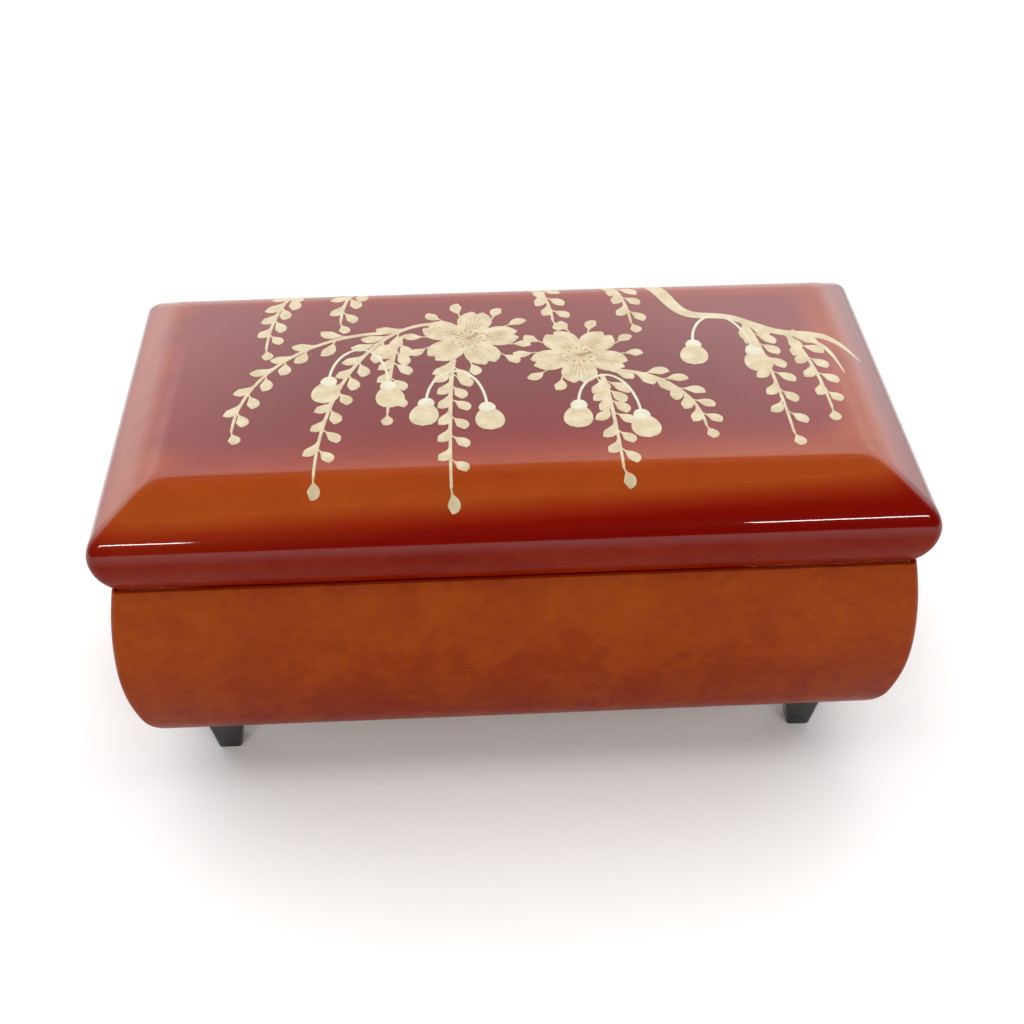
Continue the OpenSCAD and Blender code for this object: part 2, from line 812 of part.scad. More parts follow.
module ratchet_wheel() {
    color(steel) translate([barrel_x, barrel_y, wheel_z - ratchet_t]) difference() {
        linear_extrude(height = ratchet_t) polygon([for (i = [0:ratchet_teeth - 1]) for (k = [0, 1])
            let (a = (i + k * ratchet_lean) * 360 / ratchet_teeth)
            (ratchet_r - k * ratchet_deep) * [cos(a), sin(a)]]);
        translate([0, 0, -over]) cylinder(h = through, r = arbor_r);
    }
}

pawl_back = -9;
pawl_neck = -6.5;
pawl_tip = -0.3;
pawl_low = 4.2;
pawl_high = 6.6;
pawl_tip_low = 4.9;
pawl_tip_high = 5.4;

// Click spring that rides on the ratchet teeth
module ratchet_pawl() {
    color(steel) translate([barrel_x, barrel_y, wheel_z - ratchet_t]) linear_extrude(height = ratchet_t)
        polygon([[pawl_back, pawl_low], [pawl_neck, pawl_low], [pawl_tip, pawl_tip_low],
            [pawl_tip, pawl_tip_high], [pawl_neck, pawl_high], [pawl_back, pawl_high]]);
}

comb_x0 = drum_x0;
comb_z = axis_z - 0.6;
comb_t = 1;
comb_y0 = move_y - 19.5;
comb_tip = move_y - drum_r - 0.7;
comb_w = note_pitch * note_count;
comb_slit_half = 0.12;
comb_back = 7;
slit_y0 = comb_y0 + comb_back + 0.2;
slit_step = 0.05;
base_lap = 0.4;

module comb_base() {
    color(brass) difference() {
        block([comb_x0 - base_lap, comb_y0, bed_top],
            [comb_x0 + comb_w + base_lap, comb_y0 + comb_back, comb_z]);
        at_comb_screws() translate([0, 0, bed_top - over]) cylinder(h = comb_screw_len, r = comb_screw_r);
    }
}

module comb() {
    color(steel) difference() {
        block([comb_x0, comb_y0, comb_z], [comb_x0 + comb_w, comb_tip, comb_z + comb_t]);
        for (i = [1:note_count - 1]) block(
            [comb_x0 + i * note_pitch - comb_slit_half, slit_y0 - slit_step * i, comb_z - over],
            [comb_x0 + i * note_pitch + comb_slit_half, comb_tip + over, comb_z + comb_t + over]);
        at_comb_screws() translate([0, 0, bed_top]) cylinder(h = comb_screw_len, r = comb_screw_r);
    }
}

module comb_screws() {
    color(steel) at_comb_screws() {
        translate([0, 0, bed_z]) cylinder(h = comb_z + comb_t - bed_z, r = comb_screw_r);
        difference() {
            translate([0, 0, comb_z + comb_t]) cylinder(h = comb_head_t, r = comb_head_r);
            driver_slot(comb_z + comb_t + slot_deep, comb_z + comb_t + 2 * over);
        }
    }
}

cyl_arbor_r = 0.9;
gov_arbor_r = 0.6;
worm_arbor_r = 0.5;
bearing_x = move_x + 0.1;
bearing_t = 1;
bearing_half = 3;
bearing_rise = 2.4;
pinion_x = move_x - 1.7;
pinion_t = 1.3;
end_t = 1;
plate_t = 0.6;
outer_plate_t = 1;
foot_plate_t = 0.8;
frame_back = move_y + 16.6;
inner_plate_back = move_y + 11.4;
foot_plate_back = move_y + bed_y - 0.2;
bridge_front = fan_y - 3.4;
arbor_end = 0.9;
drum_wall = 1;
drum_cap = 1.2;
small_add = 0.33;
small_ded = 0.45;
small_root = 0.5;
small_tip = 0.26;

module cylinder_bearing() {
    color(nickel) difference() {
        block([bearing_x, move_y - bearing_half, bed_top],
            [bearing_x + bearing_t, move_y + bearing_half, axis_z + bearing_rise]);
        rod_x(move_x - over, move_x + 2, move_y, axis_z, cyl_arbor_r + run_gap);
    }
}

module cylinder_drum() {
    color(brass) difference() {
        rod_x(drum_x0, drum_x1, move_y, axis_z, drum_r);
        rod_x(drum_x0 + drum_cap, drum_x1 - drum_cap, move_y, axis_z, drum_r - drum_wall);
        rod_x(drum_x0 - over, drum_x1 + over, move_y, axis_z, cyl_arbor_r);
    }
}

module cylinder_arbor() {
    color(steel) rod_x(pinion_x - slack, mid_x + arbor_end, move_y, axis_z, cyl_arbor_r);
}

module cylinder_pinion() {
    color(brass) difference() {
        along_x(pinion_x, pinion_x + pinion_t) translate([move_y, axis_z])
            wheel_outline(pinion_teeth, pinion_r, pinion_add, pinion_ded, pinion_root, pinion_tip, -90);
        rod_x(pinion_x - over, move_x + over, move_y, axis_z, cyl_arbor_r);
    }
}

module cylinder_end_wheel() {
    color(brass) difference() {
        along_x(end_x, end_x + end_t) translate([move_y, axis_z])
            wheel_outline(end_teeth, end_r, small_add, small_ded, small_root, small_tip, mesh_a);
        rod_x(end_x - over, end_x + 2, move_y, axis_z, cyl_arbor_r);
    }
}

module governor_frame() {
    color(nickel) difference() {
        union() {
            block([mid_x, move_y - bearing_half, bed_top], [mid_x + plate_t, inner_plate_back, bridge_z]);
            block([right_x, move_y + bearing_half, bed_top],
                [right_x + outer_plate_t, frame_back, bridge_z]);
            block([mid_x, move_y + bearing_half, bed_top],
                [right_x + outer_plate_t, foot_plate_back, bed_top + foot_plate_t]);
        }
        rod_x(mid_x - over, mid_x + 2, move_y, axis_z, cyl_arbor_r + run_gap);
        rod_x(mid_x - over, right_x + 2, gov_y, gov_z, gov_arbor_r + run_gap);
        translate([fan_x, fan_y, bed_top - over]) cylinder(h = through, r = worm_arbor_r + run_gap);
        at_governor_screws() translate([0, 0, bed_top - over]) cylinder(h = through, r = small_screw_r);
    }
}

module governor_bridge() {
    color(nickel) difference() {
        block([mid_x, bridge_front, bridge_z],
            [right_x + outer_plate_t, frame_back, bridge_z + bridge_t]);
        translate([fan_x, fan_y, bridge_z - over]) cylinder(h = through, r = worm_arbor_r + run_gap);
    }
}

module governor_screws() {
    color(steel) at_governor_screws() {
        translate([0, 0, bed_z]) cylinder(h = bed_t + foot_plate_t, r = small_screw_r);
        translate([0, 0, bed_top + foot_plate_t]) cylinder(h = small_head_t, r = small_head_r);
    }
}

module governor_arbor() {
    color(steel) rod_x(end_x - pin_end, right_x + arbor_end, gov_y, gov_z, gov_arbor_r);
}

module governor_pinion() {
    color(steel) difference() {
        along_x(end_x, end_x + end_t) translate([gov_y, gov_z]) wheel_outline(gov_teeth, gov_r, small_add,
            small_ded, small_root, small_tip, mesh_a + 180 + 180 / gov_teeth);
        rod_x(end_x - over, end_x + 2, gov_y, gov_z, gov_arbor_r);
    }
}

worm_wheel_t = 1.8;
worm_add = 0.15;
worm_ded = 0.7;
worm_root = 0.5;
worm_tip = 0.3;

module worm_wheel() {
    color(brass) difference() {
        along_x(worm_wheel_x, worm_wheel_x + worm_wheel_t) translate([gov_y, gov_z])
            wheel_outline(worm_teeth, worm_wheel_r, worm_add, worm_ded, worm_root, worm_tip, 0);
        rod_x(worm_wheel_x - over, worm_wheel_x + 3, gov_y, gov_z, gov_arbor_r);
    }
}

worm_turns = 3;
worm_slices = 10;
worm_swing = 0.55;
worm_sides = 14;

// A right-handed single thread: an off-centre circle twisted as it rises, its groove facing the wheel's axis
module worm() {
    color(steel) translate([fan_x, fan_y, 0]) {
        translate([0, 0, gov_z - worm_lead * worm_turns / 2])
            linear_extrude(height = worm_lead * worm_turns, twist = -360 * worm_turns,
                slices = worm_slices * worm_turns)
            translate([0, -worm_swing]) circle(r = worm_r - run_gap, $fn = worm_sides);
        translate([0, 0, bed_top + slack]) cylinder(h = fan_z - bed_top - slack, r = worm_arbor_r);
    }
}

// Air brake: a flat blade on the worm's upper end
module fan() {
    color(black) translate([fan_x, fan_y, 0]) {
        difference() {
            translate([0, 0, fan_z - hub_below]) cylinder(h = hub_t, r = fan_hub_r);
            translate([0, 0, fan_z - hub_below - over]) cylinder(h = hub_below + over, r = worm_arbor_r);
        }
        block([slack - fan_sweep, -fan_half_t, fan_z], [fan_sweep - slack, fan_half_t, fan_z + fan_h]);
    }
}

front_panel();
back_panel();
left_end();
right_end();
bottom_board();
feet();
foot_screws();
hinge_case_leaves();
hinge_pins();
hinge_case_screws();
compartment_lining();
compartment_divider();
ring_rolls();
partition();
cover_ledges();
clear_cover();
stop_guide();
stop_guide_screws();
lid_shell();
lid_lining();
lid_mirror();
mirror_frame();
hinge_lid_leaves();
hinge_lid_screws();
bedplate();
movement_screws();
spring_housing();
housing_screws();
mainspring();
winding_arbor();
winding_key();
drive_wheel();
ratchet_wheel();
ratchet_pawl();
comb_base();
comb();
comb_screws();
cylinder_bearing();
cylinder_drum();
cylinder_arbor();
cylinder_pinion();
cylinder_end_wheel();
governor_frame();
governor_bridge();
governor_screws();
governor_arbor();
governor_pinion();
worm_wheel();
worm();
fan();
stop_rod();
stop_wire();
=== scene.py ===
import json
import math
import random

import bmesh
import bpy
from mathutils import Matrix, Vector


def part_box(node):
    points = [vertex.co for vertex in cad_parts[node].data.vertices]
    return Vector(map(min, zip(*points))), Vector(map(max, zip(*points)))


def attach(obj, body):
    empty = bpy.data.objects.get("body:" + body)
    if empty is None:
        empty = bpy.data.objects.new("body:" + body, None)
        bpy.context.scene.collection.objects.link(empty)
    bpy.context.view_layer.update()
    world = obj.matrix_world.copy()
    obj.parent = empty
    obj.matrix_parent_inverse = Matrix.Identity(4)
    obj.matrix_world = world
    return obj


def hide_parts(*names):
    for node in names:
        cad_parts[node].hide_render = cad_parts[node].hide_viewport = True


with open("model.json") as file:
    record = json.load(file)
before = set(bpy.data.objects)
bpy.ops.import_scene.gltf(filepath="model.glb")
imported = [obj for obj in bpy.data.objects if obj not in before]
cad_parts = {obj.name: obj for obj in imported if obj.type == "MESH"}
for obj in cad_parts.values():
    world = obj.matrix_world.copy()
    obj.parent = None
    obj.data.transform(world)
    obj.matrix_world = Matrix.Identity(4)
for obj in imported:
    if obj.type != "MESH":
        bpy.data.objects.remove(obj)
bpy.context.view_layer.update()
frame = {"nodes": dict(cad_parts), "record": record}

MM = 0.001

# ---------------------------------------------------------------- sizes, in millimetres

HALF_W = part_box("lid_shell")[1].x / MM
HALF_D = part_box("lid_shell")[1].y / MM
LID_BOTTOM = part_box("lid_shell")[0].z / MM
LID_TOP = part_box("lid_shell")[1].z / MM
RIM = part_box("front_panel")[1].z / MM
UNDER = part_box("front_panel")[0].z / MM
BOARD_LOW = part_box("bottom_board")[0].z / MM
WALL_INSET = HALF_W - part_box("bottom_board")[1].x / MM - 0.1
LIP_INSET = 28.0
LINING_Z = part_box("lid_lining")[0].z / MM
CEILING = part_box("lid_lining")[1].z / MM
RECESS_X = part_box("lid_lining")[1].x / MM + 0.1
RECESS_WALL = HALF_W - RECESS_X

LID_WIDE_Z = 89.8
NOSE_R = 20.0
SHOULDER_R = 8.0
BROW_R = 14.0
BEVEL = math.radians(34)
LID_SKIN = 0.15          # room left under the CAD top for the gold painting
LID_CORNER_R = 3.0
CROWN_X = 0.42           # fall of the crowned top towards each end
CROWN_Y = 0.3            # fall towards the front and the back
CROWN_START_Z = 94.0     # below this the lid is not crowned

SIDE_INSET = 0.9
BULGE_Z = 50.0
UPPER_R = 135.0
LOWER_R = 78.0
ROLL_R = 17.0
ROLL_START_Z = 30.0
RIM_ROUND = 1.2
SIDE_CORNER_R = 1.6

HINGE_HALF = 11.0        # half the length of a hinge leaf
HINGE_ROOM = 0.1         # play round a leaf in its recess
KNUCKLE_ROOM_R = 1.7
LEAF_ROOM = 0.8          # depth of the recess for one leaf

FOOT_TOP_HALF = 6.0
FOOT_LOW_HALF = 3.3
# Height, corner radius and how far the softened ends draw in, ring by ring up a foot
FOOT_RINGS = [(0.0, 0.9, 0.5), (0.15, 1.0, 0.2), (0.5, 1.0, 0.0), (6.0, 1.0, 0.0), (12.0, 1.0, 0.0),
              (17.9, 1.0, 0.0), (UNDER, 1.0, 0.1)]

TRAY_WALL = 1.8
TRAY_ROUND = 2.0
DIVIDER_ROUND = 0.95
ROLL_GAP = 0.3           # between one ring roll and the next

NOTES = 18
NOTE_START = 0.65        # from the end of the drum to the first ring of pins
NOTE_PITCH = 1.1
PIN_PLACES = 40          # places for a pin round the drum
PIN_SUNK = 0.3
PIN_HEIGHT = 0.42
PIN_R = 0.16             # at the drum
PIN_TIP_R = 0.13

WEIGHTED_TEETH = 7
WEIGHT_DEPTH = 1.6       # under the longest tooth
WEIGHT_LESS = 0.16       # less depth on each next tooth

# ---------------------------------------------------------------- mesh helpers


def make_object(name, points, faces, smooth_angle=35):
    """A mesh object from points in millimetres, smooth except across edges sharper than the angle."""
    mesh = bpy.data.meshes.new(name)
    mesh.from_pydata([Vector(p) * MM for p in points], [], faces)
    mesh.validate()
    bm = bmesh.new()
    bm.from_mesh(mesh)
    bmesh.ops.remove_doubles(bm, verts=bm.verts, dist=1e-7)
    bmesh.ops.recalc_face_normals(bm, faces=bm.faces)
    bm.to_mesh(mesh)
    bm.free()
    obj = bpy.data.objects.new(name, mesh)
    bpy.context.scene.collection.objects.link(obj)
    soften(obj, smooth_angle)
    return obj


def soften(obj, angle):
    """Smooth shading with sharp edges kept, and flat faces kept flat."""
    mesh = obj.data
    mesh.polygons.foreach_set("use_smooth", [True] * len(mesh.polygons))
    mesh.set_sharp_from_angle(angle=math.radians(angle))
    if "flat_normals" not in obj.modifiers:
        weighted = obj.modifiers.new("flat_normals", "WEIGHTED_NORMAL")
        weighted.keep_sharp = True


def paint(obj, *materials):
    obj.data.materials.clear()
    for m in materials:
        obj.data.materials.append(m)


def place(obj, body, slot, *nodes):
    """The piece rides on a body and stands for these CAD nodes, which it hides; slot is not used."""
    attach(obj, body)
    if nodes:
        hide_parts(*nodes)
    return obj


def arc(cx, cy, r, a, b, n):
    """Points on an arc from angle a to b in degrees, both ends included."""
    out = []
    for i in range(n + 1):
        t = math.radians(a + (b - a) * i / n)
        out.append((cx + r * math.cos(t), cy + r * math.sin(t)))
    return out


def ring(half_x, half_y, z, r, nx, ny, nc, centre=(0, 0)):
    """Points round a rectangle with rounded corners, always the same number of them."""
    r = max(min(r, half_x * 0.98, half_y * 0.98), 0.01)
    pts = []
    corners = [(half_x - r, r - half_y, -90), (half_x - r, half_y - r, 0),
               (r - half_x, half_y - r, 90), (r - half_x, r - half_y, 180)]
    counts = [nx, ny, nx, ny]
    start = (r - half_x, -half_y)
    for k, (cx, cy, a) in enumerate(corners):
        first = arc(cx, cy, r, a, a + 90, nc)
        for i in range(counts[k]):
            t = i / counts[k]
            pts.append((start[0] + (first[0][0] - start[0]) * t, start[1] + (first[0][1] - start[1]) * t))
        pts += first[:-1]
        start = first[-1]
    return [(x + centre[0], y + centre[1], z) for x, y in pts]


def loft(rings, ends=True):
    """Faces between rings of equal length, with flat ends unless they are left open."""
    n = len(rings[0])
    points = [p for r in rings for p in r]
    faces = []
    for j in range(len(rings) - 1):
        for i in range(n):
            k = (i + 1) % n
            faces.append((j * n + i, j * n + k, (j + 1) * n + k, (j + 1) * n + i))
    if ends:
        faces.append(tuple(range(n - 1, -1, -1)))
        base = (len(rings) - 1) * n
        faces.append(tuple(base + i for i in range(n)))
    return points, faces


def cut(obj, cutters):
    """Takes the cutters out of obj and throws them away."""
    for c in cutters:
        mod = obj.modifiers.new("cut", "BOOLEAN")
        mod.operation = "DIFFERENCE"
        mod.solver = "EXACT"
        mod.object = c
        bpy.context.view_layer.objects.active = obj
        while obj.modifiers[0] != mod:
            bpy.ops.object.modifier_move_up(modifier=mod.name)
        bpy.ops.object.modifier_apply(modifier=mod.name)
        bpy.data.objects.remove(c)


def box_points(lo, hi):
    return [(x, y, z) for z in (lo[2], hi[2]) for x, y in
            ((lo[0], lo[1]), (hi[0], lo[1]), (hi[0], hi[1]), (lo[0], hi[1]))]


BOX_FACES = [(3, 2, 1, 0), (4, 5, 6, 7), (0, 1, 5, 4), (1, 2, 6, 5), (2, 3, 7, 6), (3, 0, 4, 7)]


def soft_box(name, lo, hi, r):
    """A box in millimetres with rounded edges."""
    obj = make_object(name, box_points(lo, hi), BOX_FACES)
    bm = bmesh.new()
    bm.from_mesh(obj.data)
    bmesh.ops.bevel(bm, geom=list(bm.edges), offset=r * MM, segments=4, profile=0.5, affect="EDGES")
    bm.to_mesh(obj.data)
    bm.free()
    soften(obj, 50)
    return obj


# ---------------------------------------------------------------- sections of the lid and the sides


def lid_profile():
    """[inset, height] from the lid's lower edge up to the flat top."""
    nose = math.asin((LID_WIDE_Z - LID_BOTTOM) / NOSE_R)
    pts = []
    for i in range(20):
        a = nose * (1 - i / 20)
        pts.append((NOSE_R * (1 - math.cos(a)), LID_WIDE_Z - NOSE_R * math.sin(a)))
    pts += arc(SHOULDER_R, LID_WIDE_Z, SHOULDER_R, 180, 90 + math.degrees(BEVEL), 16)
    end_s, end_z = pts[-1]
    top = LID_TOP - LID_SKIN
    corner = end_s + (top - end_z) / math.tan(BEVEL)
    brow_s = corner + BROW_R * math.tan(BEVEL / 2)
    brow = arc(brow_s, top - BROW_R, BROW_R, 90 + math.degrees(BEVEL), 90, 12)
    for t in (0.04, 0.5, 0.96):
        pts.append((end_s + (brow[0][0] - end_s) * t, end_z + (brow[0][1] - end_z) * t))
    return pts + brow


LID_PROFILE = lid_profile()
TOP_INSET = LID_PROFILE[-1][0]


def crown(x, y, z):
    """How far the crowned top has fallen at a point of the section, which is drawn with a flat top."""
    share = min(max((z - CROWN_START_Z) / (LID_TOP - LID_SKIN - CROWN_START_Z), 0), 1)
    return share * share * (CROWN_X * (x / HALF_W) ** 2 + CROWN_Y * (y / HALF_D) ** 2)


def lid_height(x, y):
    """Height of the lid's upper surface over a point, in millimetres."""
    s = min(HALF_W - abs(x), HALF_D - abs(y))
    upper = [p for p in LID_PROFILE if p[1] >= LID_WIDE_Z]
    z = upper[-1][1]
    for (s0, z0), (s1, z1) in zip(upper, upper[1:]):
        if s0 <= s <= s1:
            z = z0 + (z1 - z0) * (s - s0) / (s1 - s0)
            break
    return z - crown(x, y, z)


def side_profile():
    """[inset, height] round a side's section: down the outside, in along the lip and up the inside."""
    rim_inset = SIDE_INSET + UPPER_R - math.sqrt(UPPER_R ** 2 - (RIM - BULGE_Z) ** 2)
    start_a = math.asin((BULGE_Z - ROLL_START_Z) / LOWER_R)
    upper_a = math.degrees(math.asin((RIM - RIM_ROUND - BULGE_Z) / UPPER_R))
    roll_s = SIDE_INSET + LOWER_R - (LOWER_R - ROLL_R) * math.cos(start_a)
    roll_z = BULGE_Z - (LOWER_R - ROLL_R) * math.sin(start_a)
    pts = arc(rim_inset + RIM_ROUND, RIM - RIM_ROUND, RIM_ROUND, 90, 170, 6)
    pts += arc(SIDE_INSET + UPPER_R, BULGE_Z, UPPER_R, 180 - upper_a, 180, 14)
    pts += arc(SIDE_INSET + LOWER_R, BULGE_Z, LOWER_R, 180, 180 + math.degrees(start_a), 12)[1:]
    pts += arc(roll_s, roll_z, ROLL_R, 180 + math.degrees(start_a), 270, 20)[1:]
    outer = len(pts)
    pts += [(LIP_INSET, roll_z - ROLL_R), (LIP_INSET, BOARD_LOW), (WALL_INSET, BOARD_LOW), (WALL_INSET, RIM)]
    return pts, outer


# ---------------------------------------------------------------- material helpers


class Nodes:
    """A material's node tree, with short calls for the nodes that the finishes share."""

    def __init__(self, name):
        self.mat = bpy.data.materials.new(name)
        self.mat.use_nodes = True
        self.tree = self.mat.node_tree
        self.shader = self.tree.nodes["Principled BSDF"]
        self.coord = self.add("ShaderNodeTexCoord").outputs["Object"]

    def add(self, kind, **props):
        node = self.tree.nodes.new(kind)
        for k, v in props.items():
            setattr(node, k, v)
        return node

    def feed(self, socket, value):
        if isinstance(value, bpy.types.NodeSocket):
            self.tree.links.new(value, socket)
        elif hasattr(socket.default_value, "__len__") and hasattr(value, "__len__") and len(value) == 3 \
                and len(socket.default_value) == 4:
            socket.default_value = (*value, 1)
        else:
            socket.default_value = value

    def set(self, **values):
        for k, v in values.items():
            self.feed(self.shader.inputs[k.replace("_", " ")], v)
        return self

    def math(self, op, a, b=0.0, c=0.0, clamp=False):
        node = self.add("ShaderNodeMath", operation=op, use_clamp=clamp)
        for socket, value in zip(node.inputs, (a, b, c)):
            self.feed(socket, value)
        return node.outputs[0]

    def stretch(self, scale):
        node = self.add("ShaderNodeMapping")
        self.feed(node.inputs["Vector"], self.coord)
        node.inputs["Scale"].default_value = scale
        return node.outputs[0]

    def noise(self, scale, detail=4, rough=0.5, vector=None, warp=0.0):
        node = self.add("ShaderNodeTexNoise")
        self.feed(node.inputs["Vector"], vector or self.coord)
        node.inputs["Scale"].default_value = scale
        node.inputs["Detail"].default_value = detail
        node.inputs["Roughness"].default_value = rough
        node.inputs["Distortion"].default_value = warp
        return node.outputs["Fac"]

    def ramp(self, fac, *stops):
        node = self.add("ShaderNodeValToRGB")
        self.feed(node.inputs["Fac"], fac)
        ramp = node.color_ramp
        while len(ramp.elements) < len(stops):
            ramp.elements.new(0.5)
        for e, (pos, colour) in zip(ramp.elements, stops):
            e.position = pos
            e.color = (*colour, 1) if hasattr(colour, "__len__") else (colour, colour, colour, 1)
        return node.outputs["Color"]

    def range(self, value, lo, hi, to_lo=0.0, to_hi=1.0, smooth=True):
        node = self.add("ShaderNodeMapRange", interpolation_type="SMOOTHSTEP" if smooth else "LINEAR")
        self.feed(node.inputs["Value"], value)
        for k, v in zip(("From Min", "From Max", "To Min", "To Max"), (lo, hi, to_lo, to_hi)):
            self.feed(node.inputs[k], v)
        return node.outputs["Result"]

    def mix(self, fac, a, b, blend="MIX"):
        node = self.add("ShaderNodeMix", data_type="RGBA", blend_type=blend)
        self.feed(node.inputs["Factor"], fac)
        self.feed(node.inputs[6], a)
        self.feed(node.inputs[7], b)
        return node.outputs[2]

    def bump(self, height, strength, distance):
        node = self.add("ShaderNodeBump")
        self.feed(node.inputs["Height"], height)
        node.inputs["Strength"].default_value = strength
        node.inputs["Distance"].default_value = distance
        self.feed(self.shader.inputs["Normal"], node.outputs["Normal"])

    def axes(self):
        node = self.add("ShaderNodeSeparateXYZ")
        self.feed(node.inputs[0], self.coord)
        return node.outputs


# ---------------------------------------------------------------- finishes

AMBER = (0.30, 0.050, 0.003)
CRIMSON = (0.165, 0.010, 0.003)
ORANGE = (0.30, 0.052, 0.007)
RED = (0.17, 0.008, 0.004)
MAROON = (0.125, 0.003, 0.003)
DARK_RED = (0.155, 0.003, 0.001)


def gloss(n, coat):
    """The clear top coat that every lacquered surface shares, as thick as coat says."""
    n.set(Roughness=0.42, IOR=1.5, Coat_Weight=coat, Coat_Roughness=0.025, Coat_IOR=1.5)
    n.shader.inputs["Specular IOR Level"].default_value = 0.06


def clouds(n, scale, spread):
    """Soft blotches, from 0 to 1, like dye that has run under lacquer."""
    big = n.noise(scale, 5, 0.62, warp=0.6)
    small = n.noise(scale * 5.5, 4, 0.6, warp=0.3)
    both = n.math("ADD", n.math("MULTIPLY", big, 0.65), n.math("MULTIPLY", small, 0.35))
    return n.range(both, 0.5 - spread, 0.5 + spread)


def side_lacquer():
    """The sides: amber clouded with crimson and redder towards the rim, with painted shade making them darker
    and redder low down and a near-black painted shade line along the top edge where the lid sits.
    """
    n = Nodes("lacquer_sides")
    z = n.axes()[2]
    blotch = clouds(n, 60, 0.12)
    # Painted shade: the colour grows darker and redder towards the bottom, where the sides turn under away
    # from the light.
    low = n.range(z, 0.070, 0.016)
    rim = n.range(z, 0.072, 0.078)
    red = n.math("ADD", n.math("MULTIPLY", blotch, 0.36), n.math("MULTIPLY", low, 0.62))
    red = n.math("ADD", red, n.math("MULTIPLY", rim, 0.22), clamp=True)
    base = n.mix(red, AMBER, CRIMSON)
    # Painted shade: a near-black line along the top edge of each side, where the lid sits on the case.
    base = n.mix(n.range(z, (RIM - 1.4) * MM, (RIM - 0.5) * MM, 0, 0.85), base, (0.07, 0.004, 0.002))
    fleck = n.noise(700, 3, 0.7, vector=n.stretch((0.6, 0.6, 1)))
    base = n.mix(n.range(fleck, 0.45, 0.8, 0, 0.18), base, (0.11, 0.008, 0.003))
    n.set(Base_Color=base)
    gloss(n, 0.22)
    n.bump(n.noise(260, 2), 0.04, 0.0002)
    return n.mat


def lid_lacquer():
    """The lid: a maroon centre that warms to red at its border, orange slopes and a dark red edge, with
    painted light tilting the border between slope and edge.
    """
    n = Nodes("lacquer_lid")
    x, y, z = n.axes()
    from_end = n.math("SUBTRACT", HALF_W * MM, n.math("ABSOLUTE", x))
    from_side = n.math("SUBTRACT", HALF_D * MM, n.math("ABSOLUTE", y))
    inset = n.math("SMOOTH_MIN", from_end, from_side, 0.012)
    blotch = clouds(n, 40, 0.2)
    streak = n.noise(70, 4, 0.6, vector=n.stretch((0.10, 1.5, 1.5)))
    wander = n.math("MULTIPLY", n.math("SUBTRACT", streak, 0.5), 0.005)
    # Painted light: this tilt draws the border between the orange slope and the dark red edge lower at the
    # left end and higher at the right, following a lit edge; the streak term before it is uneven dye.
    wander = n.math("SUBTRACT", wander, n.math("MULTIPLY", x, 0.03))
    edge = n.range(n.math("ADD", inset, wander), 0.0, 0.054, smooth=False)
    slope = [(0.0, DARK_RED), (0.05, (0.165, 0.004, 0.001)), (0.10, (0.23, 0.018, 0.003)), (0.16, ORANGE)]
    front = n.ramp(edge, *slope, (0.33, (0.28, 0.044, 0.006)), (0.42, (0.215, 0.018, 0.004)),
                   (0.58, RED), (0.90, MAROON))
    rest = n.ramp(edge, *slope, (0.30, (0.24, 0.026, 0.005)), (0.38, RED), (0.60, (0.15, 0.004, 0.003)),
                  (0.90, MAROON))
    burst = n.mix(n.range(y, -0.022, -0.034), rest, front)
    burst = n.mix(n.range(streak, 0.40, 0.72, 0, 0.22), burst, (0.15, 0.008, 0.003))
    burst = n.mix(n.range(blotch, 0.2, 1.0, 0, 0.14), burst, (0.17, 0.005, 0.003))
    nose = n.mix(blotch, (0.20, 0.018, 0.005), (0.155, 0.007, 0.004))
    n.set(Base_Color=n.mix(n.range(z, 0.0885, 0.0925), nose, burst))
    gloss(n, n.range(z, 0.0885, 0.093, 0.15, 1.0))
    n.bump(n.noise(220, 2), 0.03, 0.0002)
    return n.mat


def inner_lacquer():
    """Thin dark stain on the inside of the case and lid."""
    n = Nodes("stained_inside")
    grain = n.noise(120, 5, 0.65, vector=n.stretch((0.12, 1.5, 1.5)))
    n.set(Base_Color=n.ramp(grain, (0.3, (0.10, 0.018, 0.008)), (0.7, (0.20, 0.045, 0.015))))
    n.set(Roughness=n.range(grain, 0.3, 0.7, 0.32, 0.5))
    n.bump(grain, 0.1, 0.0003)
    return n.mat


def raw_wood():
    n = Nodes("raw_wood")
    grain = n.noise(90, 6, 0.7, vector=n.stretch((0.08, 1.2, 1.2)), warp=0.4)
    pores = n.noise(700, 2, 0.6, vector=n.stretch((0.05, 1, 1)))
    base = n.ramp(grain, (0.25, (0.42, 0.26, 0.13)), (0.55, (0.58, 0.39, 0.21)), (0.8, (0.68, 0.49, 0.28)))
    n.set(Base_Color=n.mix(n.range(pores, 0.55, 0.75, 0, 0.5), base, (0.22, 0.12, 0.06)), Roughness=0.62)
    n.bump(pores, 0.25, 0.0003)
    return n.mat


def foot_paint():
    """Black satin paint, worn a little thin and dusty in places."""
    n = Nodes("foot_paint")
    dust = n.noise(500, 4, 0.7)
    n.set(Base_Color=n.ramp(dust, (0.35, (0.010, 0.009, 0.010)), (0.8, (0.035, 0.031, 0.033))),
          Roughness=n.range(dust, 0.3, 0.8, 0.26, 0.45), Coat_Weight=0.25, Coat_Roughness=0.15)
    n.bump(n.noise(900, 3), 0.12, 0.0002)
    return n.mat


def gold_paint(name, warm, cool, metallic):
    """Brushed-on gold: pale, faintly metallic, with fine powder grain and uneven cover."""
    n = Nodes(name)
    powder = n.noise(2600, 2, 0.6)
    cover = n.noise(260, 4, 0.6)
    base = n.mix(n.range(cover, 0.3, 0.7), warm, cool)
    base = n.mix(n.range(powder, 0.5, 0.8, 0, 0.35), base, tuple(min(c * 1.15, 1) for c in cool))
    n.set(Base_Color=base, Metallic=metallic, Roughness=n.range(powder, 0.3, 0.7, 0.36, 0.55),
          Coat_Weight=0.3, Coat_Roughness=0.12)
    n.bump(powder, 0.25, 0.00008)
    return n.mat


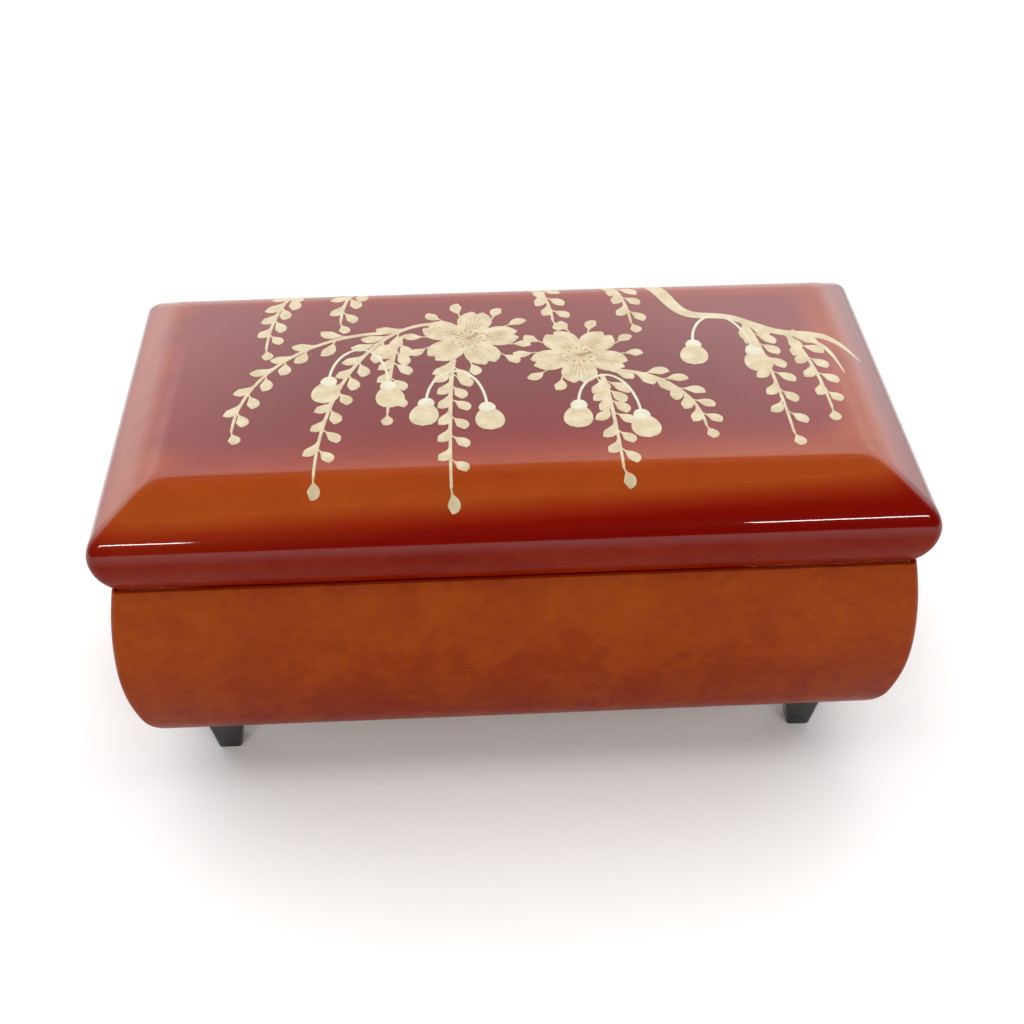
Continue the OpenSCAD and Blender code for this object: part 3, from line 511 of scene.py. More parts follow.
def velvet():
    """Short pile: dark seen straight on, bright at the edges, brushed unevenly."""
    n = Nodes("velvet")
    nap = n.noise(60, 4, 0.6, warp=0.5)
    pile = n.noise(3200, 2, 0.7)
    base = n.ramp(nap, (0.3, (0.105, 0.004, 0.016)), (0.7, (0.20, 0.010, 0.030)))
    n.set(Base_Color=n.mix(n.range(pile, 0.4, 0.8, 0, 0.4), base, (0.32, 0.03, 0.06)), Roughness=0.92,
          Sheen_Weight=0.9, Sheen_Roughness=0.35)
    n.feed(n.shader.inputs["Sheen Tint"], (1.0, 0.55, 0.6))
    n.shader.inputs["Specular IOR Level"].default_value = 0.1
    n.bump(pile, 0.5, 0.0002)
    return n.mat


def metal(name, colour, dark, rough_lo, rough_hi, stretch=(1, 1, 1)):
    """Worked metal: fine directional marks, and tarnish in soft patches."""
    n = Nodes(name)
    marks = n.noise(1500, 3, 0.65, vector=n.stretch(stretch))
    patch = n.noise(180, 4, 0.6)
    n.set(Base_Color=n.mix(n.range(patch, 0.45, 0.8, 0, 0.6), colour, dark), Metallic=1.0,
          Roughness=n.range(marks, 0.3, 0.7, rough_lo, rough_hi))
    n.bump(marks, 0.08, 0.0001)
    return n.mat


def mirror_glass():
    n = Nodes("mirror_silver")
    n.set(Base_Color=n.ramp(n.noise(30, 2), (0.3, (0.86, 0.88, 0.89)), (0.7, (0.92, 0.93, 0.94))),
          Metallic=1.0, Roughness=n.range(n.noise(400, 3), 0.3, 0.8, 0.012, 0.03))
    return n.mat


def acrylic():
    n = Nodes("clear_acrylic")
    n.set(Base_Color=n.ramp(n.noise(20, 2), (0.3, (0.96, 0.975, 0.98)), (0.7, (0.985, 0.99, 0.99))),
          Roughness=n.range(n.noise(600, 4, 0.7), 0.5, 0.9, 0.0, 0.06), IOR=1.49, Transmission_Weight=1.0)
    return n.mat


def moulded_black():
    n = Nodes("moulded_black")
    grain = n.noise(1800, 2)
    n.set(Base_Color=n.ramp(grain, (0.3, (0.012, 0.012, 0.013)), (0.7, (0.03, 0.03, 0.032))),
          Roughness=n.range(grain, 0.3, 0.7, 0.35, 0.5))
    n.bump(grain, 0.15, 0.0001)
    return n.mat


def floor_paper():
    n = Nodes("white_sweep")
    n.set(Base_Color=n.ramp(n.noise(3, 2), (0.3, (0.90, 0.90, 0.895)), (0.7, (0.93, 0.93, 0.925))),
          Roughness=0.9)
    n.shader.inputs["Specular IOR Level"].default_value = 0.1
    return n.mat


FINISH = {
    "lacquer": side_lacquer(),
    "lid": lid_lacquer(),
    "inside": inner_lacquer(),
    "raw_wood": raw_wood(),
    "foot_black": foot_paint(),
    "velvet": velvet(),
    "brass": metal("brass", (0.83, 0.63, 0.30), (0.60, 0.40, 0.17), 0.14, 0.30),
    "steel": metal("steel", (0.62, 0.63, 0.65), (0.42, 0.42, 0.43), 0.20, 0.38, (0.1, 1, 1)),
    "plated": metal("plated", (0.78, 0.76, 0.72), (0.60, 0.58, 0.54), 0.18, 0.32),
    "clear": acrylic(),
    "mirror": mirror_glass(),
    "black_plastic": moulded_black(),
    "gold": gold_paint("gold_paint", (0.50, 0.40, 0.24), (0.62, 0.53, 0.36), 0.3),
    "gold_pale": gold_paint("gold_paint_pale", (0.52, 0.49, 0.36), (0.61, 0.59, 0.46), 0.1),
    "gold_shade": gold_paint("gold_paint_shade", (0.34, 0.21, 0.09), (0.42, 0.28, 0.13), 0.3),
}

# ---------------------------------------------------------------- case


def hinge_cutters(z0, z1):
    """Solids that let each hinge's leaf and knuckles into the wood, between two heights."""
    lo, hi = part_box("hinge_case_leaves")
    pin_lo, pin_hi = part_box("hinge_pins")
    axis_y, axis_z = (pin_lo.y + pin_hi.y) / 2 / MM, (pin_lo.z + pin_hi.z) / 2 / MM
    half = HINGE_HALF + HINGE_ROOM
    out = []
    for side in (-1, 1):
        cx = side * (hi.x / MM - HINGE_HALF)
        out.append(make_object("cutter", box_points((cx - half, lo.y / MM - HINGE_ROOM, z0),
                                                    (cx + half, axis_y, z1)), BOX_FACES))
        rings = []
        for x in (cx - half, cx + half):
            rings.append([(x, axis_y + KNUCKLE_ROOM_R * math.cos(t), axis_z + KNUCKLE_ROOM_R * math.sin(t))
                          for t in [2 * math.pi * i / 32 for i in range(32)]])
        out.append(make_object("cutter", *loft(rings)))
    return out


def side_mesh(name, half_len, half_wid, turn, columns):
    """One bulging side with its half of each rounded corner, mitred at both ends."""
    section, outer = side_profile()
    rows = []
    for k, (s, z) in enumerate(section):
        r = SIDE_CORNER_R if k < outer - 1 else 0.15
        hx, hy = half_len - s, half_wid - s
        row = [(r - hx - r * math.sin(t), r * (1 - math.cos(t)) - hy, z)
               for t in [math.radians(45 * (1 - i / 5)) for i in range(5)]]
        row += [((r - hx) + 2 * (hx - r) * i / columns, -hy, z) for i in range(columns + 1)]
        row += [(hx - r + r * math.sin(t), r * (1 - math.cos(t)) - hy, z)
                for t in [math.radians(45 * (i + 1) / 5) for i in range(5)]]
        rows.append(row)
    n = len(rows[0])
    points = [p for row in rows for p in row]
    faces = []
    for j in range(len(rows)):
        k = (j + 1) % len(rows)
        for i in range(n - 1):
            faces.append((j * n + i, j * n + i + 1, k * n + i + 1, k * n + i))
    faces.append(tuple(j * n for j in range(len(rows))))
    faces.append(tuple(j * n + n - 1 for j in range(len(rows) - 1, -1, -1)))
    obj = make_object(name, points, faces)
    obj.data.transform(Matrix.Rotation(math.radians(turn), 4, "Z"))
    inside_faces(obj)
    return obj


def inside_faces(obj):
    """Faces that look into the case take the second material."""
    limit_x = (HALF_W - WALL_INSET + 0.6) * MM
    limit_y = (HALF_D - WALL_INSET + 0.6) * MM
    for p in obj.data.polygons:
        c = p.center
        inner = abs(p.normal.z) < 0.5 and c.z > BOARD_LOW * MM and abs(c.x) < limit_x and abs(c.y) < limit_y
        p.material_index = 1 if inner else 0


def build_sides():
    for name, half_len, half_wid, turn, cols in (("front_panel", HALF_W, HALF_D, 0, 60),
                                                 ("back_panel", HALF_W, HALF_D, 180, 60),
                                                 ("left_end", HALF_D, HALF_W, -90, 32),
                                                 ("right_end", HALF_D, HALF_W, 90, 32)):
        obj = side_mesh(name + "_lacquered", half_len, half_wid, turn, cols)
        paint(obj, FINISH["lacquer"], FINISH["inside"])
        if name == "back_panel":
            cut(obj, hinge_cutters(RIM - LEAF_ROOM, RIM + 1))
            soften(obj, 35)
        place(obj, "case", "lacquer", name)


def build_feet():
    """Tapered black blocks with softened edges."""
    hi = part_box("feet")[1]
    cx, cy = hi.x / MM - FOOT_TOP_HALF, hi.y / MM - FOOT_TOP_HALF
    for k, (sx, sy) in enumerate(((-1, -1), (1, -1), (-1, 1), (1, 1))):
        rings = []
        for z, r, shrink in FOOT_RINGS:
            half = FOOT_LOW_HALF + (FOOT_TOP_HALF - FOOT_LOW_HALF) * z / UNDER - shrink
            rings.append(ring(half, half, z, r, 4, 4, 4, centre=(sx * cx, sy * cy)))
        foot = make_object(f"foot_{k + 1}", *loft(rings))
        paint(foot, FINISH["foot_black"])
        place(foot, "case", "foot_black", "feet")


# ---------------------------------------------------------------- lid


def build_lid():
    rings = []

    def add(s, z, r):
        flat = ring(HALF_W - s, HALF_D - s, z, r, 48, 26, 8)
        rings.append([(x, y, z - crown(x, y, z)) for x, y, _ in flat])

    add(RECESS_WALL, CEILING, 1.0)
    add(RECESS_WALL, LID_BOTTOM + 1.0, 1.0)
    add(RECESS_WALL, LID_BOTTOM + 0.4, 1.0)
    add(RECESS_WALL - 0.4, LID_BOTTOM, 1.2)
    start = LID_PROFILE[0][0]
    add(start + 1.2, LID_BOTTOM, LID_CORNER_R)
    add(start + 0.3, LID_BOTTOM, LID_CORNER_R)
    add(start + 0.08, LID_BOTTOM + 0.10, LID_CORNER_R)
    for s, z in LID_PROFILE[1:]:
        add(s, z, LID_CORNER_R)
    for s in (TOP_INSET + 0.4, 24, 32, 40, 48, 52):
        add(s, LID_TOP - LID_SKIN, LID_CORNER_R if s < 40 else 2.0)
    obj = make_object("lid_lacquered", *loft(rings))
    recess = (HALF_W - RECESS_WALL) * MM
    for p in obj.data.polygons:
        c = p.center
        inside = abs(c.x) < recess + 2e-4 and abs(c.y) < (HALF_D - RECESS_WALL) * MM + 2e-4 \
            and c.z < (CEILING + 0.1) * MM and c.z > (LID_BOTTOM + 0.2) * MM
        p.material_index = 1 if inside else 0
    paint(obj, FINISH["lid"], FINISH["inside"])
    cut(obj, hinge_cutters(LID_BOTTOM - 1, LID_BOTTOM + LEAF_ROOM))
    soften(obj, 35)
    place(obj, "lid", "lacquer", "lid_shell")


def build_lid_inside():
    """Padded velvet round a mirror in a brass moulding."""
    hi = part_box("lid_lining")[1]
    hx, hy = hi.x / MM, hi.y / MM
    rings = [ring(hx, hy, CEILING, 1.0, 40, 20, 4)]
    for inset, z in ((0.0, LINING_Z + 1.4), (0.25, LINING_Z + 0.7), (0.9, LINING_Z + 0.2), (2.2, LINING_Z),
                     (9.0, LINING_Z)):
        rings.append(ring(hx - inset, hy - inset, z, 1.0 + inset, 40, 20, 4))
    lining = make_object("lid_velvet", *loft(rings))
    paint(lining, FINISH["velvet"])
    place(lining, "lid", "velvet", "lid_lining")

    lo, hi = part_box("lid_mirror")
    mx, my = hi.x / MM, hi.y / MM
    face = lo.z / MM
    rings = [ring(mx, my, LINING_Z, 0.3, 20, 10, 2), ring(mx, my, face + 0.35, 0.3, 20, 10, 2),
             ring(mx - 3.5, my - 3.5, face, 0.3, 20, 10, 2)]
    mirror = make_object("lid_mirror_glass", *loft(rings), smooth_angle=1)
    paint(mirror, FINISH["mirror"])
    place(mirror, "lid", "mirror", "lid_mirror")

    lo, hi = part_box("mirror_frame")
    fx, fy = hi.x / MM, hi.y / MM
    low = lo.z / MM
    section = [(0.0, LINING_Z), (0.0, low + 1.2), (0.35, low + 0.55), (1.0, low + 0.1), (1.8, low),
               (2.6, low + 0.15), (3.1, low + 0.6), (3.5, low + 0.75), (4.0, low + 0.45), (4.8, low + 0.3),
               (5.6, low + 0.4), (6.2, low + 0.55), (6.2, face), (5.0, face + 0.45), (5.0, LINING_Z)]
    rings = [ring(fx - s, fy - s, z, max(1.5 - s * 0.2, 0.3), 30, 14, 4) for s, z in section]
    points, faces = loft(rings, ends=False)
    n = len(rings[0])
    last = (len(rings) - 1) * n
    faces += [(last + i, last + (i + 1) % n, (i + 1) % n, i) for i in range(n)]
    moulding = make_object("mirror_moulding", points, faces, smooth_angle=40)
    paint(moulding, FINISH["brass"])
    place(moulding, "lid", "brass", "mirror_frame")


# ---------------------------------------------------------------- gold painting on the lid

# A generic weeping-blossom pattern, laid out loosely like the real lid's: a few round places in
# millimetres, and the rest grown by rule
PAINT_SUNK = 0.08            # how far each film reaches into the lacquer
PAINT_STEP = 0.008           # films that cross lie at slightly different heights
BOUGH = [(98, 6), (88, 14), (76, 17), (64, 25), (52, 28), (46, 40), (42, 50)]
TWIG = [(80, 17), (88, 8), (91, -4)]

# Sprays: where each starts, where its tip hangs, and its number of leaf pairs
SPRAYS = [
    ((-20, 26), (-50, -42), 9), ((-34, 22), (-72, -22), 6), ((-28, 20), (-32, -16), 5),
    ((-14, 8), (-16, -46), 7), ((25, -2), (27, -42), 6), ((28, 0), (50, -26), 5),
    ((66, 24), (72, -30), 7), ((76, 17), (84, -20), 5), ((-54, 50), (-66, 16), 5),
    ((-38, 50), (-46, 28), 3), ((4, 50), (14, 26), 4), ((26, 50), (36, 24), 4),
]

# Clusters of buds: where their stalks meet, and how many hang there
CLUSTERS = [((-40, 14), 2), ((-14, 2), 2), ((26, -2), 2), ((60, 26), 2)]

# Blossoms: centre, petal length and the direction of the first petal
BLOSSOMS = [((-10, 18), 14.5, 78), ((20, 8), 14, 50)]


def droop(start, tip, steps=64):
    """A stem that sets out sideways and ends hanging down."""
    out = []
    for i in range(steps + 1):
        a = math.pi / 2 * i / steps
        out.append((start[0] + (tip[0] - start[0]) * math.sin(a),
                    start[1] + (tip[1] - start[1]) * (1 - math.cos(a))))
    return out


def step_from(point, angle, distance):
    return point[0] + distance * math.cos(angle), point[1] + distance * math.sin(angle)


class Painting:
    """Films of paint that lie on the lid's surface, gathered into one mesh."""

    def __init__(self, height):
        self.height = height
        self.films = 0
        self.points = []
        self.faces = []

    def film(self, rows):
        """A closed film through rows of [x, y, share of the full height]."""
        base, across, down = len(self.points), len(rows[0]), len(rows)
        height = self.height + PAINT_STEP * (self.films % 4)
        self.films += 1
        for row in rows:
            self.points += [(x, y, lid_height(x, y) + height * share) for x, y, share in row]
        for row in rows:
            self.points += [(x, y, lid_height(x, y) - PAINT_SUNK) for x, y, _ in row]
        under = base + across * down
        for j in range(down - 1):
            for i in range(across - 1):
                a = j * across + i
                quad = (a, a + 1, a + across + 1, a + across)
                self.faces.append(tuple(base + k for k in quad))
                self.faces.append(tuple(under + k for k in reversed(quad)))
        border = list(range(across)) + [j * across + across - 1 for j in range(1, down)]
        border += [(down - 1) * across + i for i in range(across - 2, -1, -1)]
        border += [j * across for j in range(down - 2, 0, -1)]
        for k, a in enumerate(border):
            b = border[(k + 1) % len(border)]
            self.faces.append((base + a, under + a, under + b, base + b))

    def stroke(self, line, widths):
        """A brush stroke along a line, as wide at each point as widths says."""
        rows = []
        for i, (x, y) in enumerate(line):
            x0, y0 = line[max(i - 1, 0)]
            x1, y1 = line[min(i + 1, len(line) - 1)]
            length = math.hypot(x1 - x0, y1 - y0)
            half = max(widths[i], 0.04) / 2 / length
            rows.append([(x + (y0 - y1) * half * side, y + (x1 - x0) * half * side, share)
                         for side, share in ((-1, 0.55), (-0.6, 1), (0, 1), (0.6, 1), (1, 0.55))])
        self.film(rows)

    def stem(self, line, first, last):
        n = len(line) - 1
        self.stroke(line, [first + (last - first) * i / n for i in range(n + 1)])

    def leaf(self, base, angle, length, width):
        """Narrow where it leaves the stem, round and full near the tip, with a slight bend."""
        n = 14
        line = [step_from(base, angle + 0.18 * math.sin(math.pi * i / n), length * i / n)
                for i in range(n + 1)]
        widths = []
        for i in range(n + 1):
            blade = max(i / n - 0.2, 0) / 0.8
            full = width * math.sin(math.pi * blade ** 1.4) ** 0.75 if 0 < blade < 1 else 0
            widths.append(max(full, 0.45))
        widths[-1] = 0.1
        self.stroke(line, widths)

    def petal(self, centre, angle, length, width):
        """Broadest past the middle, with a notch in its tip."""
        rows = []
        n = 14
        for j in range(n + 1):
            u = j / n
            half = width / 2 * math.sin(math.pi * (0.08 + 0.80 * u ** 1.35)) ** 0.8
            row = []
            for i in range(-6, 7):
                v = i / 6
                reach = length * (u - u ** 6 * (0.13 * (1 - abs(v)) ** 1.4 + 0.07 * v ** 4))
                x, y = step_from(centre, angle, reach)
                x, y = step_from((x, y), angle + math.pi / 2, half * v)
                row.append((x, y, 0.6 if abs(v) == 1 or j == n else 1))
            rows.append(row)
        self.film(rows)

    def drop(self, centre, angle, length, width):
        """A full bud body, a little broader away from its stalk."""
        n = 16
        line = [step_from(centre, angle, length * (i / n - 0.5)) for i in range(n + 1)]
        widths = []
        for i in range(n + 1):
            t = 2 * i / n - 1
            widths.append(width * math.sqrt(1 - t * t) * (1 + 0.12 * t))
        self.stroke(line, widths)

    def build(self, name, finish):
        obj = make_object(name, self.points, self.faces, smooth_angle=60)
        paint(obj, FINISH[finish])
        place(obj, "lid", "brass")


def smooth_line(pts, steps):
    """A Catmull-Rom curve through a few points."""
    p = [pts[0]] + list(pts) + [pts[-1]]
    out = []
    for i in range(1, len(p) - 2):
        for k in range(steps):
            t = k / steps
            out.append(tuple(0.5 * (2 * p[i][d] + (p[i + 1][d] - p[i - 1][d]) * t
                                    + (2 * p[i - 1][d] - 5 * p[i][d] + 4 * p[i + 1][d] - p[i + 2][d]) * t * t
                                    + (3 * p[i][d] - p[i - 1][d] - 3 * p[i + 1][d] + p[i + 2][d]) * t ** 3)
                             for d in (0, 1)))
    out.append(tuple(pts[-1]))
    return out


def paint_bough(stems):
    """A bough that thickens towards the back edge and swells at its joints, with one twig."""
    line = smooth_line(BOUGH, 10)
    n = len(line) - 1
    stems.stroke(line, [0.5 + 3.6 * (i / n) ** 0.45 + 0.45 * math.sin(9 * i / n) for i in range(n + 1)])
    stems.stem(smooth_line(TWIG, 10), 2.4, 0.3)


def paint_spray(stems, leaves, start, tip, pairs, hand):
    """A drooping stem with leaves left and right of it, smaller towards the tip."""
    line = droop(start, tip)
    stems.stem(line, 1.5, 0.7)
    n = len(line) - 1
    for k in range(2 * pairs):
        share = 0.16 + 0.78 * k / (2 * pairs)
        i = round(share * n)
        along = math.atan2(line[i + 1][1] - line[i][1], line[i + 1][0] - line[i][0])
        side = 1 if k % 2 else -1
        leaves.leaf(line[i], along + side * math.radians(hand.uniform(22, 40)),
                    8.8 - 2.4 * share + hand.uniform(-0.6, 0.6), 3.8 - 0.6 * share)
    leaves.leaf(line[-1], math.radians(-90) + hand.uniform(-0.2, 0.2), 5.6, 3.2)


def paint_cluster(buds, calyxes, meet, count, hand):
    """Buds that hang from one place on stalks of their own, fanned out."""
    for k in range(count):
        aside = (k - (count - 1) / 2) * 17
        centre = (meet[0] + aside, meet[1] - 19 - 4 * (k % 2) + hand.uniform(-1, 1))
        lean = math.radians(-90 + aside * 0.7)
        top = step_from(centre, lean, -5.2)
        buds.drop(centre, lean, 9.8, 7.6)
        calyxes.drop(top, lean, 4.6, 4.4)
        calyxes.stem(droop(meet, top, 14), 0.9, 0.7)


def paint_blossom(blossoms, lines, stamens, centre, length, first):
    """Five notched petals with fine veins, and a ring of stamens."""
    for k in range(5):
        angle = math.radians(first + 72 * k)
        blossoms.petal(centre, angle, length, 9.8)
        for turn in (-15, -7, 0, 7, 15):
            vein = angle + math.radians(turn)
            root = length * 0.34
            reach = length * (0.80 - 0.008 * abs(turn))
            lines.stem([step_from(centre, vein, root + (reach - root) * i / 6) for i in range(7)], 0.26, 0.08)
    for k in range(15):
        angle = math.radians(first + 24 * k)
        tip = step_from(centre, angle, 4.7 if k % 2 else 3.3)
        stamens.stem([centre, step_from(centre, angle, 1.6), tip], 0.22, 0.18)
        stamens.drop(tip, angle, 0.8, 0.8)


def build_painting():
    hand = random.Random(5)
    stems, leaves, buds = Painting(0.045), Painting(0.05), Painting(0.06)
    calyxes, blossoms = Painting(0.07), Painting(0.07)
    lines, stamens = Painting(0.10), Painting(0.105)
    paint_bough(stems)
    for start, tip, pairs in SPRAYS:
        paint_spray(stems, leaves, start, tip, pairs, hand)
    for meet, count in CLUSTERS:
        paint_cluster(buds, calyxes, meet, count, hand)
    for centre, length, first in BLOSSOMS:
        paint_blossom(blossoms, lines, stamens, centre, length, first)
        for k in range(5):
            gap = math.radians(first + 36 + 72 * k)
            for turn in (-0.22, 0.22):
                base = step_from(centre, gap + turn, 11.5)
                leaves.leaf(base, gap + turn * 1.6, hand.uniform(6.0, 7.4), 3.4)
    stems.build("gold_stems", "gold")
    leaves.build("gold_leaves", "gold")
    buds.build("gold_buds", "gold")
    blossoms.build("gold_blossoms", "gold")
    lines.build("gold_petal_veins", "gold_shade")
    calyxes.build("gold_calyxes", "gold_pale")
    stamens.build("gold_stamens", "gold_shade")


# ---------------------------------------------------------------- interior


def tray_rings(lo, hi):
    """An open tray with rounded inner edges, as rings from the outside bottom to the inside floor."""
    wall, r = TRAY_WALL, TRAY_ROUND
    cx, cy = (lo[0] + hi[0]) / 2, (lo[1] + hi[1]) / 2
    hx, hy = (hi[0] - lo[0]) / 2, (hi[1] - lo[1]) / 2
    out = []

    def add(s, z, rr):
        out.append(ring(hx - s, hy - s, z, rr, 30, 24, 5, centre=(cx, cy)))

    add(0.0, lo[2], 0.6)
    add(0.0, hi[2] - wall / 2, 0.6)
    for i in range(1, 7):
        a = math.pi * i / 6
        add(wall / 2 * (1 - math.cos(a)), hi[2] - wall / 2 + wall / 2 * math.sin(a), 0.6 + 0.3 * i)
    add(wall, lo[2] + wall + r, 2.4)
    for i in range(1, 6):
        a = math.pi / 2 * i / 5
        add(wall + r * (1 - math.cos(a)), lo[2] + wall + r * (1 - math.sin(a)), 2.4 + r * 0.5 * i / 5)
    return out


def mm_box(node):
    lo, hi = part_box(node)
    return [v / MM for v in lo], [v / MM for v in hi]


def build_interior():
    lo, hi = mm_box("compartment_lining")
    tray = make_object("velvet_tray", *loft(tray_rings(lo, hi)))
    paint(tray, FINISH["velvet"])
    place(tray, "case", "velvet", "compartment_lining")

    lo, hi = mm_box("compartment_divider")
    divider = soft_box("velvet_divider", lo, hi, DIVIDER_ROUND)
    paint(divider, FINISH["velvet"])
    place(divider, "case", "velvet", "compartment_divider")

    lo, hi = mm_box("ring_rolls")
    pitch = (hi[1] - lo[1] + ROLL_GAP) / 3
    for k in range(3):
        middle = lo[1] - ROLL_GAP / 2 + pitch * (k + 0.5)
        roll = ring_roll(f"ring_roll_{k + 1}", lo, hi, middle, pitch / 2 - ROLL_GAP / 2, k)
        paint(roll, FINISH["velvet"])
        place(roll, "case", "velvet", "ring_rolls")


def ring_roll(name, lo, hi, cy, r, seed):
    """A foam strip in velvet: full along its crest, drawn in at both ends and softly uneven."""
    wave = random.Random(seed)
    phases = [wave.uniform(0, 6.28) for _ in range(3)]
    stations = 44
    rings = []
    for i in range(stations + 1):
        t = i / stations
        x = lo[0] + (hi[0] - lo[0]) * t
        end = min(t, 1 - t) * stations / 3
        full = 1 if end >= 1 else math.sqrt(max(1 - (1 - end) ** 2, 0)) * 0.35 + 0.65
        lump = 0.25 * math.sin(9 * t + phases[0]) * math.sin(3.1 * t + phases[1])
        top = hi[2] - 0.25 + lump - (1 - full) * 4
        half = (r - 0.06) * (0.985 + 0.015 * math.sin(14 * t + phases[2])) * (0.6 + 0.4 * full)
        section = [(half * 0.9, lo[2]), (half, lo[2] + 1.5), (half, top - half * 1.05)]
        section += [(half * math.cos(a), top - half + half * math.sin(a))
                    for a in [math.pi * k / 12 for k in range(13)]]
        section += [(-half, top - half * 1.05), (-half, lo[2] + 1.5), (-half * 0.9, lo[2])]
        rings.append([(x, cy + y, z) for y, z in section])
    return make_object(name, *loft(rings), smooth_angle=50)


# ---------------------------------------------------------------- movement


def cylinder_pins():
    """Short steel pins in rings round the drum, one ring for each tooth of the comb."""
    lo, hi = mm_box("cylinder_drum")
    cy, cz = (lo[1] + hi[1]) / 2, (lo[2] + hi[2]) / 2
    r = (hi[2] - lo[2]) / 2
    tune = random.Random(18)
    points, faces = [], []
    for note in range(NOTES):
        x = lo[0] + NOTE_START + note * NOTE_PITCH
        slots = tune.sample(range(PIN_PLACES), tune.randint(6, 12))
        for slot in slots:
            a = math.radians(slot * 360 / PIN_PLACES + tune.uniform(-1.5, 1.5))
            base = len(points)
            out = Vector((0, math.cos(a), math.sin(a)))
            side = Vector((0, -math.sin(a), math.cos(a)))
            for reach, w in ((r - PIN_SUNK, PIN_R), (r + PIN_HEIGHT, PIN_TIP_R)):
                middle = Vector((x, cy, cz)) + out * reach
                for k in range(6):
                    t = math.pi * k / 3
                    points.append(tuple(middle + side * w * math.cos(t) + Vector((w * math.sin(t), 0, 0))))
            faces += [(base + k, base + (k + 1) % 6, base + 6 + (k + 1) % 6, base + 6 + k) for k in range(6)]
            faces += [tuple(base + k for k in range(5, -1, -1)), tuple(base + 6 + k for k in range(6))]
    pins = make_object("cylinder_pins", points, faces)
    paint(pins, FINISH["steel"])
    place(pins, "cylinder", "steel")


def comb_weights():
    """Lead weights under the long teeth of the comb."""
    lo, hi = mm_box("comb")
    points, faces = [], []
    for k in range(WEIGHTED_TEETH):
        x = lo[0] + NOTE_PITCH * k
        drop = WEIGHT_DEPTH - WEIGHT_LESS * k
        base = len(points)
        points += box_points((x + 0.2, hi[1] - 3.4 + 0.2 * k, lo[2] - drop),
                             (x + 0.9, hi[1] - 0.9, lo[2] + 0.02))
        faces += [tuple(base + i for i in f) for f in BOX_FACES]
    weights = make_object("comb_weights", points, faces)
    paint(weights, FINISH["plated"])
    place(weights, "case", "plated")


def dress_cad_nodes():
    """Every CAD node that stays gets its slot's finish and softened edges."""
    slots = {s["node"]: s["material_slot"] for s in frame["record"]["subparts"]}
    for name, obj in frame["nodes"].items():
        paint(obj, FINISH[slots[name]])
        for p in obj.data.polygons:
            p.use_smooth = True
        obj.data.set_sharp_from_angle(angle=math.radians(30))
        size = min(obj.dimensions)
        bevel = obj.modifiers.new("edge", "BEVEL")
        bevel.width = min(0.00025, size * 0.08)
        bevel.segments = 2
        bevel.limit_method = "ANGLE"
        bevel.angle_limit = math.radians(40)
        bevel.harden_normals = True


# ---------------------------------------------------------------- camera, floor and light


# The photo's camera, fitted by the builder to the outline of the box: metres, degrees, millimetres
CAMERA_AT = (-0.0137, -0.3323, 0.3303)
CAMERA_YAW = 2.52
CAMERA_PITCH = 39.62
CAMERA_ROLL = -0.43
LENS = 52.3

BOX_MIDDLE = (0, 0, 0.05)
FLOOR_HALF = 1400        # in millimetres
WINDOW_AZIMUTH = 24.5    # degrees to each side of the front
WINDOW_REACH = 1.8
WINDOW_RISE = 1.30

WORLD_DIM = 0.22
WORLD_BRIGHT = 2.0
# Brightness of the sweep behind the box, by the sine of the height above the horizon
SWEEP = [(0.0, 0.50), (0.38, 0.58), (0.52, 0.86), (0.60, 0.62), (0.655, 0.56), (0.70, 0.04), (0.92, 0.0)]


def build_camera():
    """Looks down on the front of the box from about a third of a metre in front and above."""
    yaw, pitch, roll = (math.radians(a) for a in (CAMERA_YAW, CAMERA_PITCH, CAMERA_ROLL))
    ahead = Vector((math.sin(yaw) * math.cos(pitch), math.cos(yaw) * math.cos(pitch), -math.sin(pitch)))
    right = Vector((math.cos(yaw), -math.sin(yaw), 0))
    up = right.cross(ahead)
    right, up = (right * math.cos(roll) + up * math.sin(roll),
                 up * math.cos(roll) - right * math.sin(roll))
    data = bpy.data.cameras.new("camera")
    data.sensor_width = 36
    data.lens = LENS
    cam = bpy.data.objects.new("camera", data)
    bpy.context.scene.collection.objects.link(cam)
    cam.matrix_world = Matrix.Translation(CAMERA_AT) @ Matrix((right, up, -ahead)).transposed().to_4x4()
    bpy.context.scene.camera = cam


def area_light(name, where, size_x, size_y, power, seen_in_gloss, colour=(1, 1, 1)):
    """A rectangle of light, in metres and watts, that faces the middle of the box."""
    data = bpy.data.lights.new(name, "AREA")
    data.shape = "RECTANGLE"
    data.size = size_x
    data.size_y = size_y
    data.energy = power
    data.color = colour
    light = bpy.data.objects.new(name, data)
    bpy.context.scene.collection.objects.link(light)
    light.location = where
    light.rotation_euler = (Vector(BOX_MIDDLE) - Vector(where)).to_track_quat("-Z", "Y").to_euler()
    light.visible_glossy = seen_in_gloss


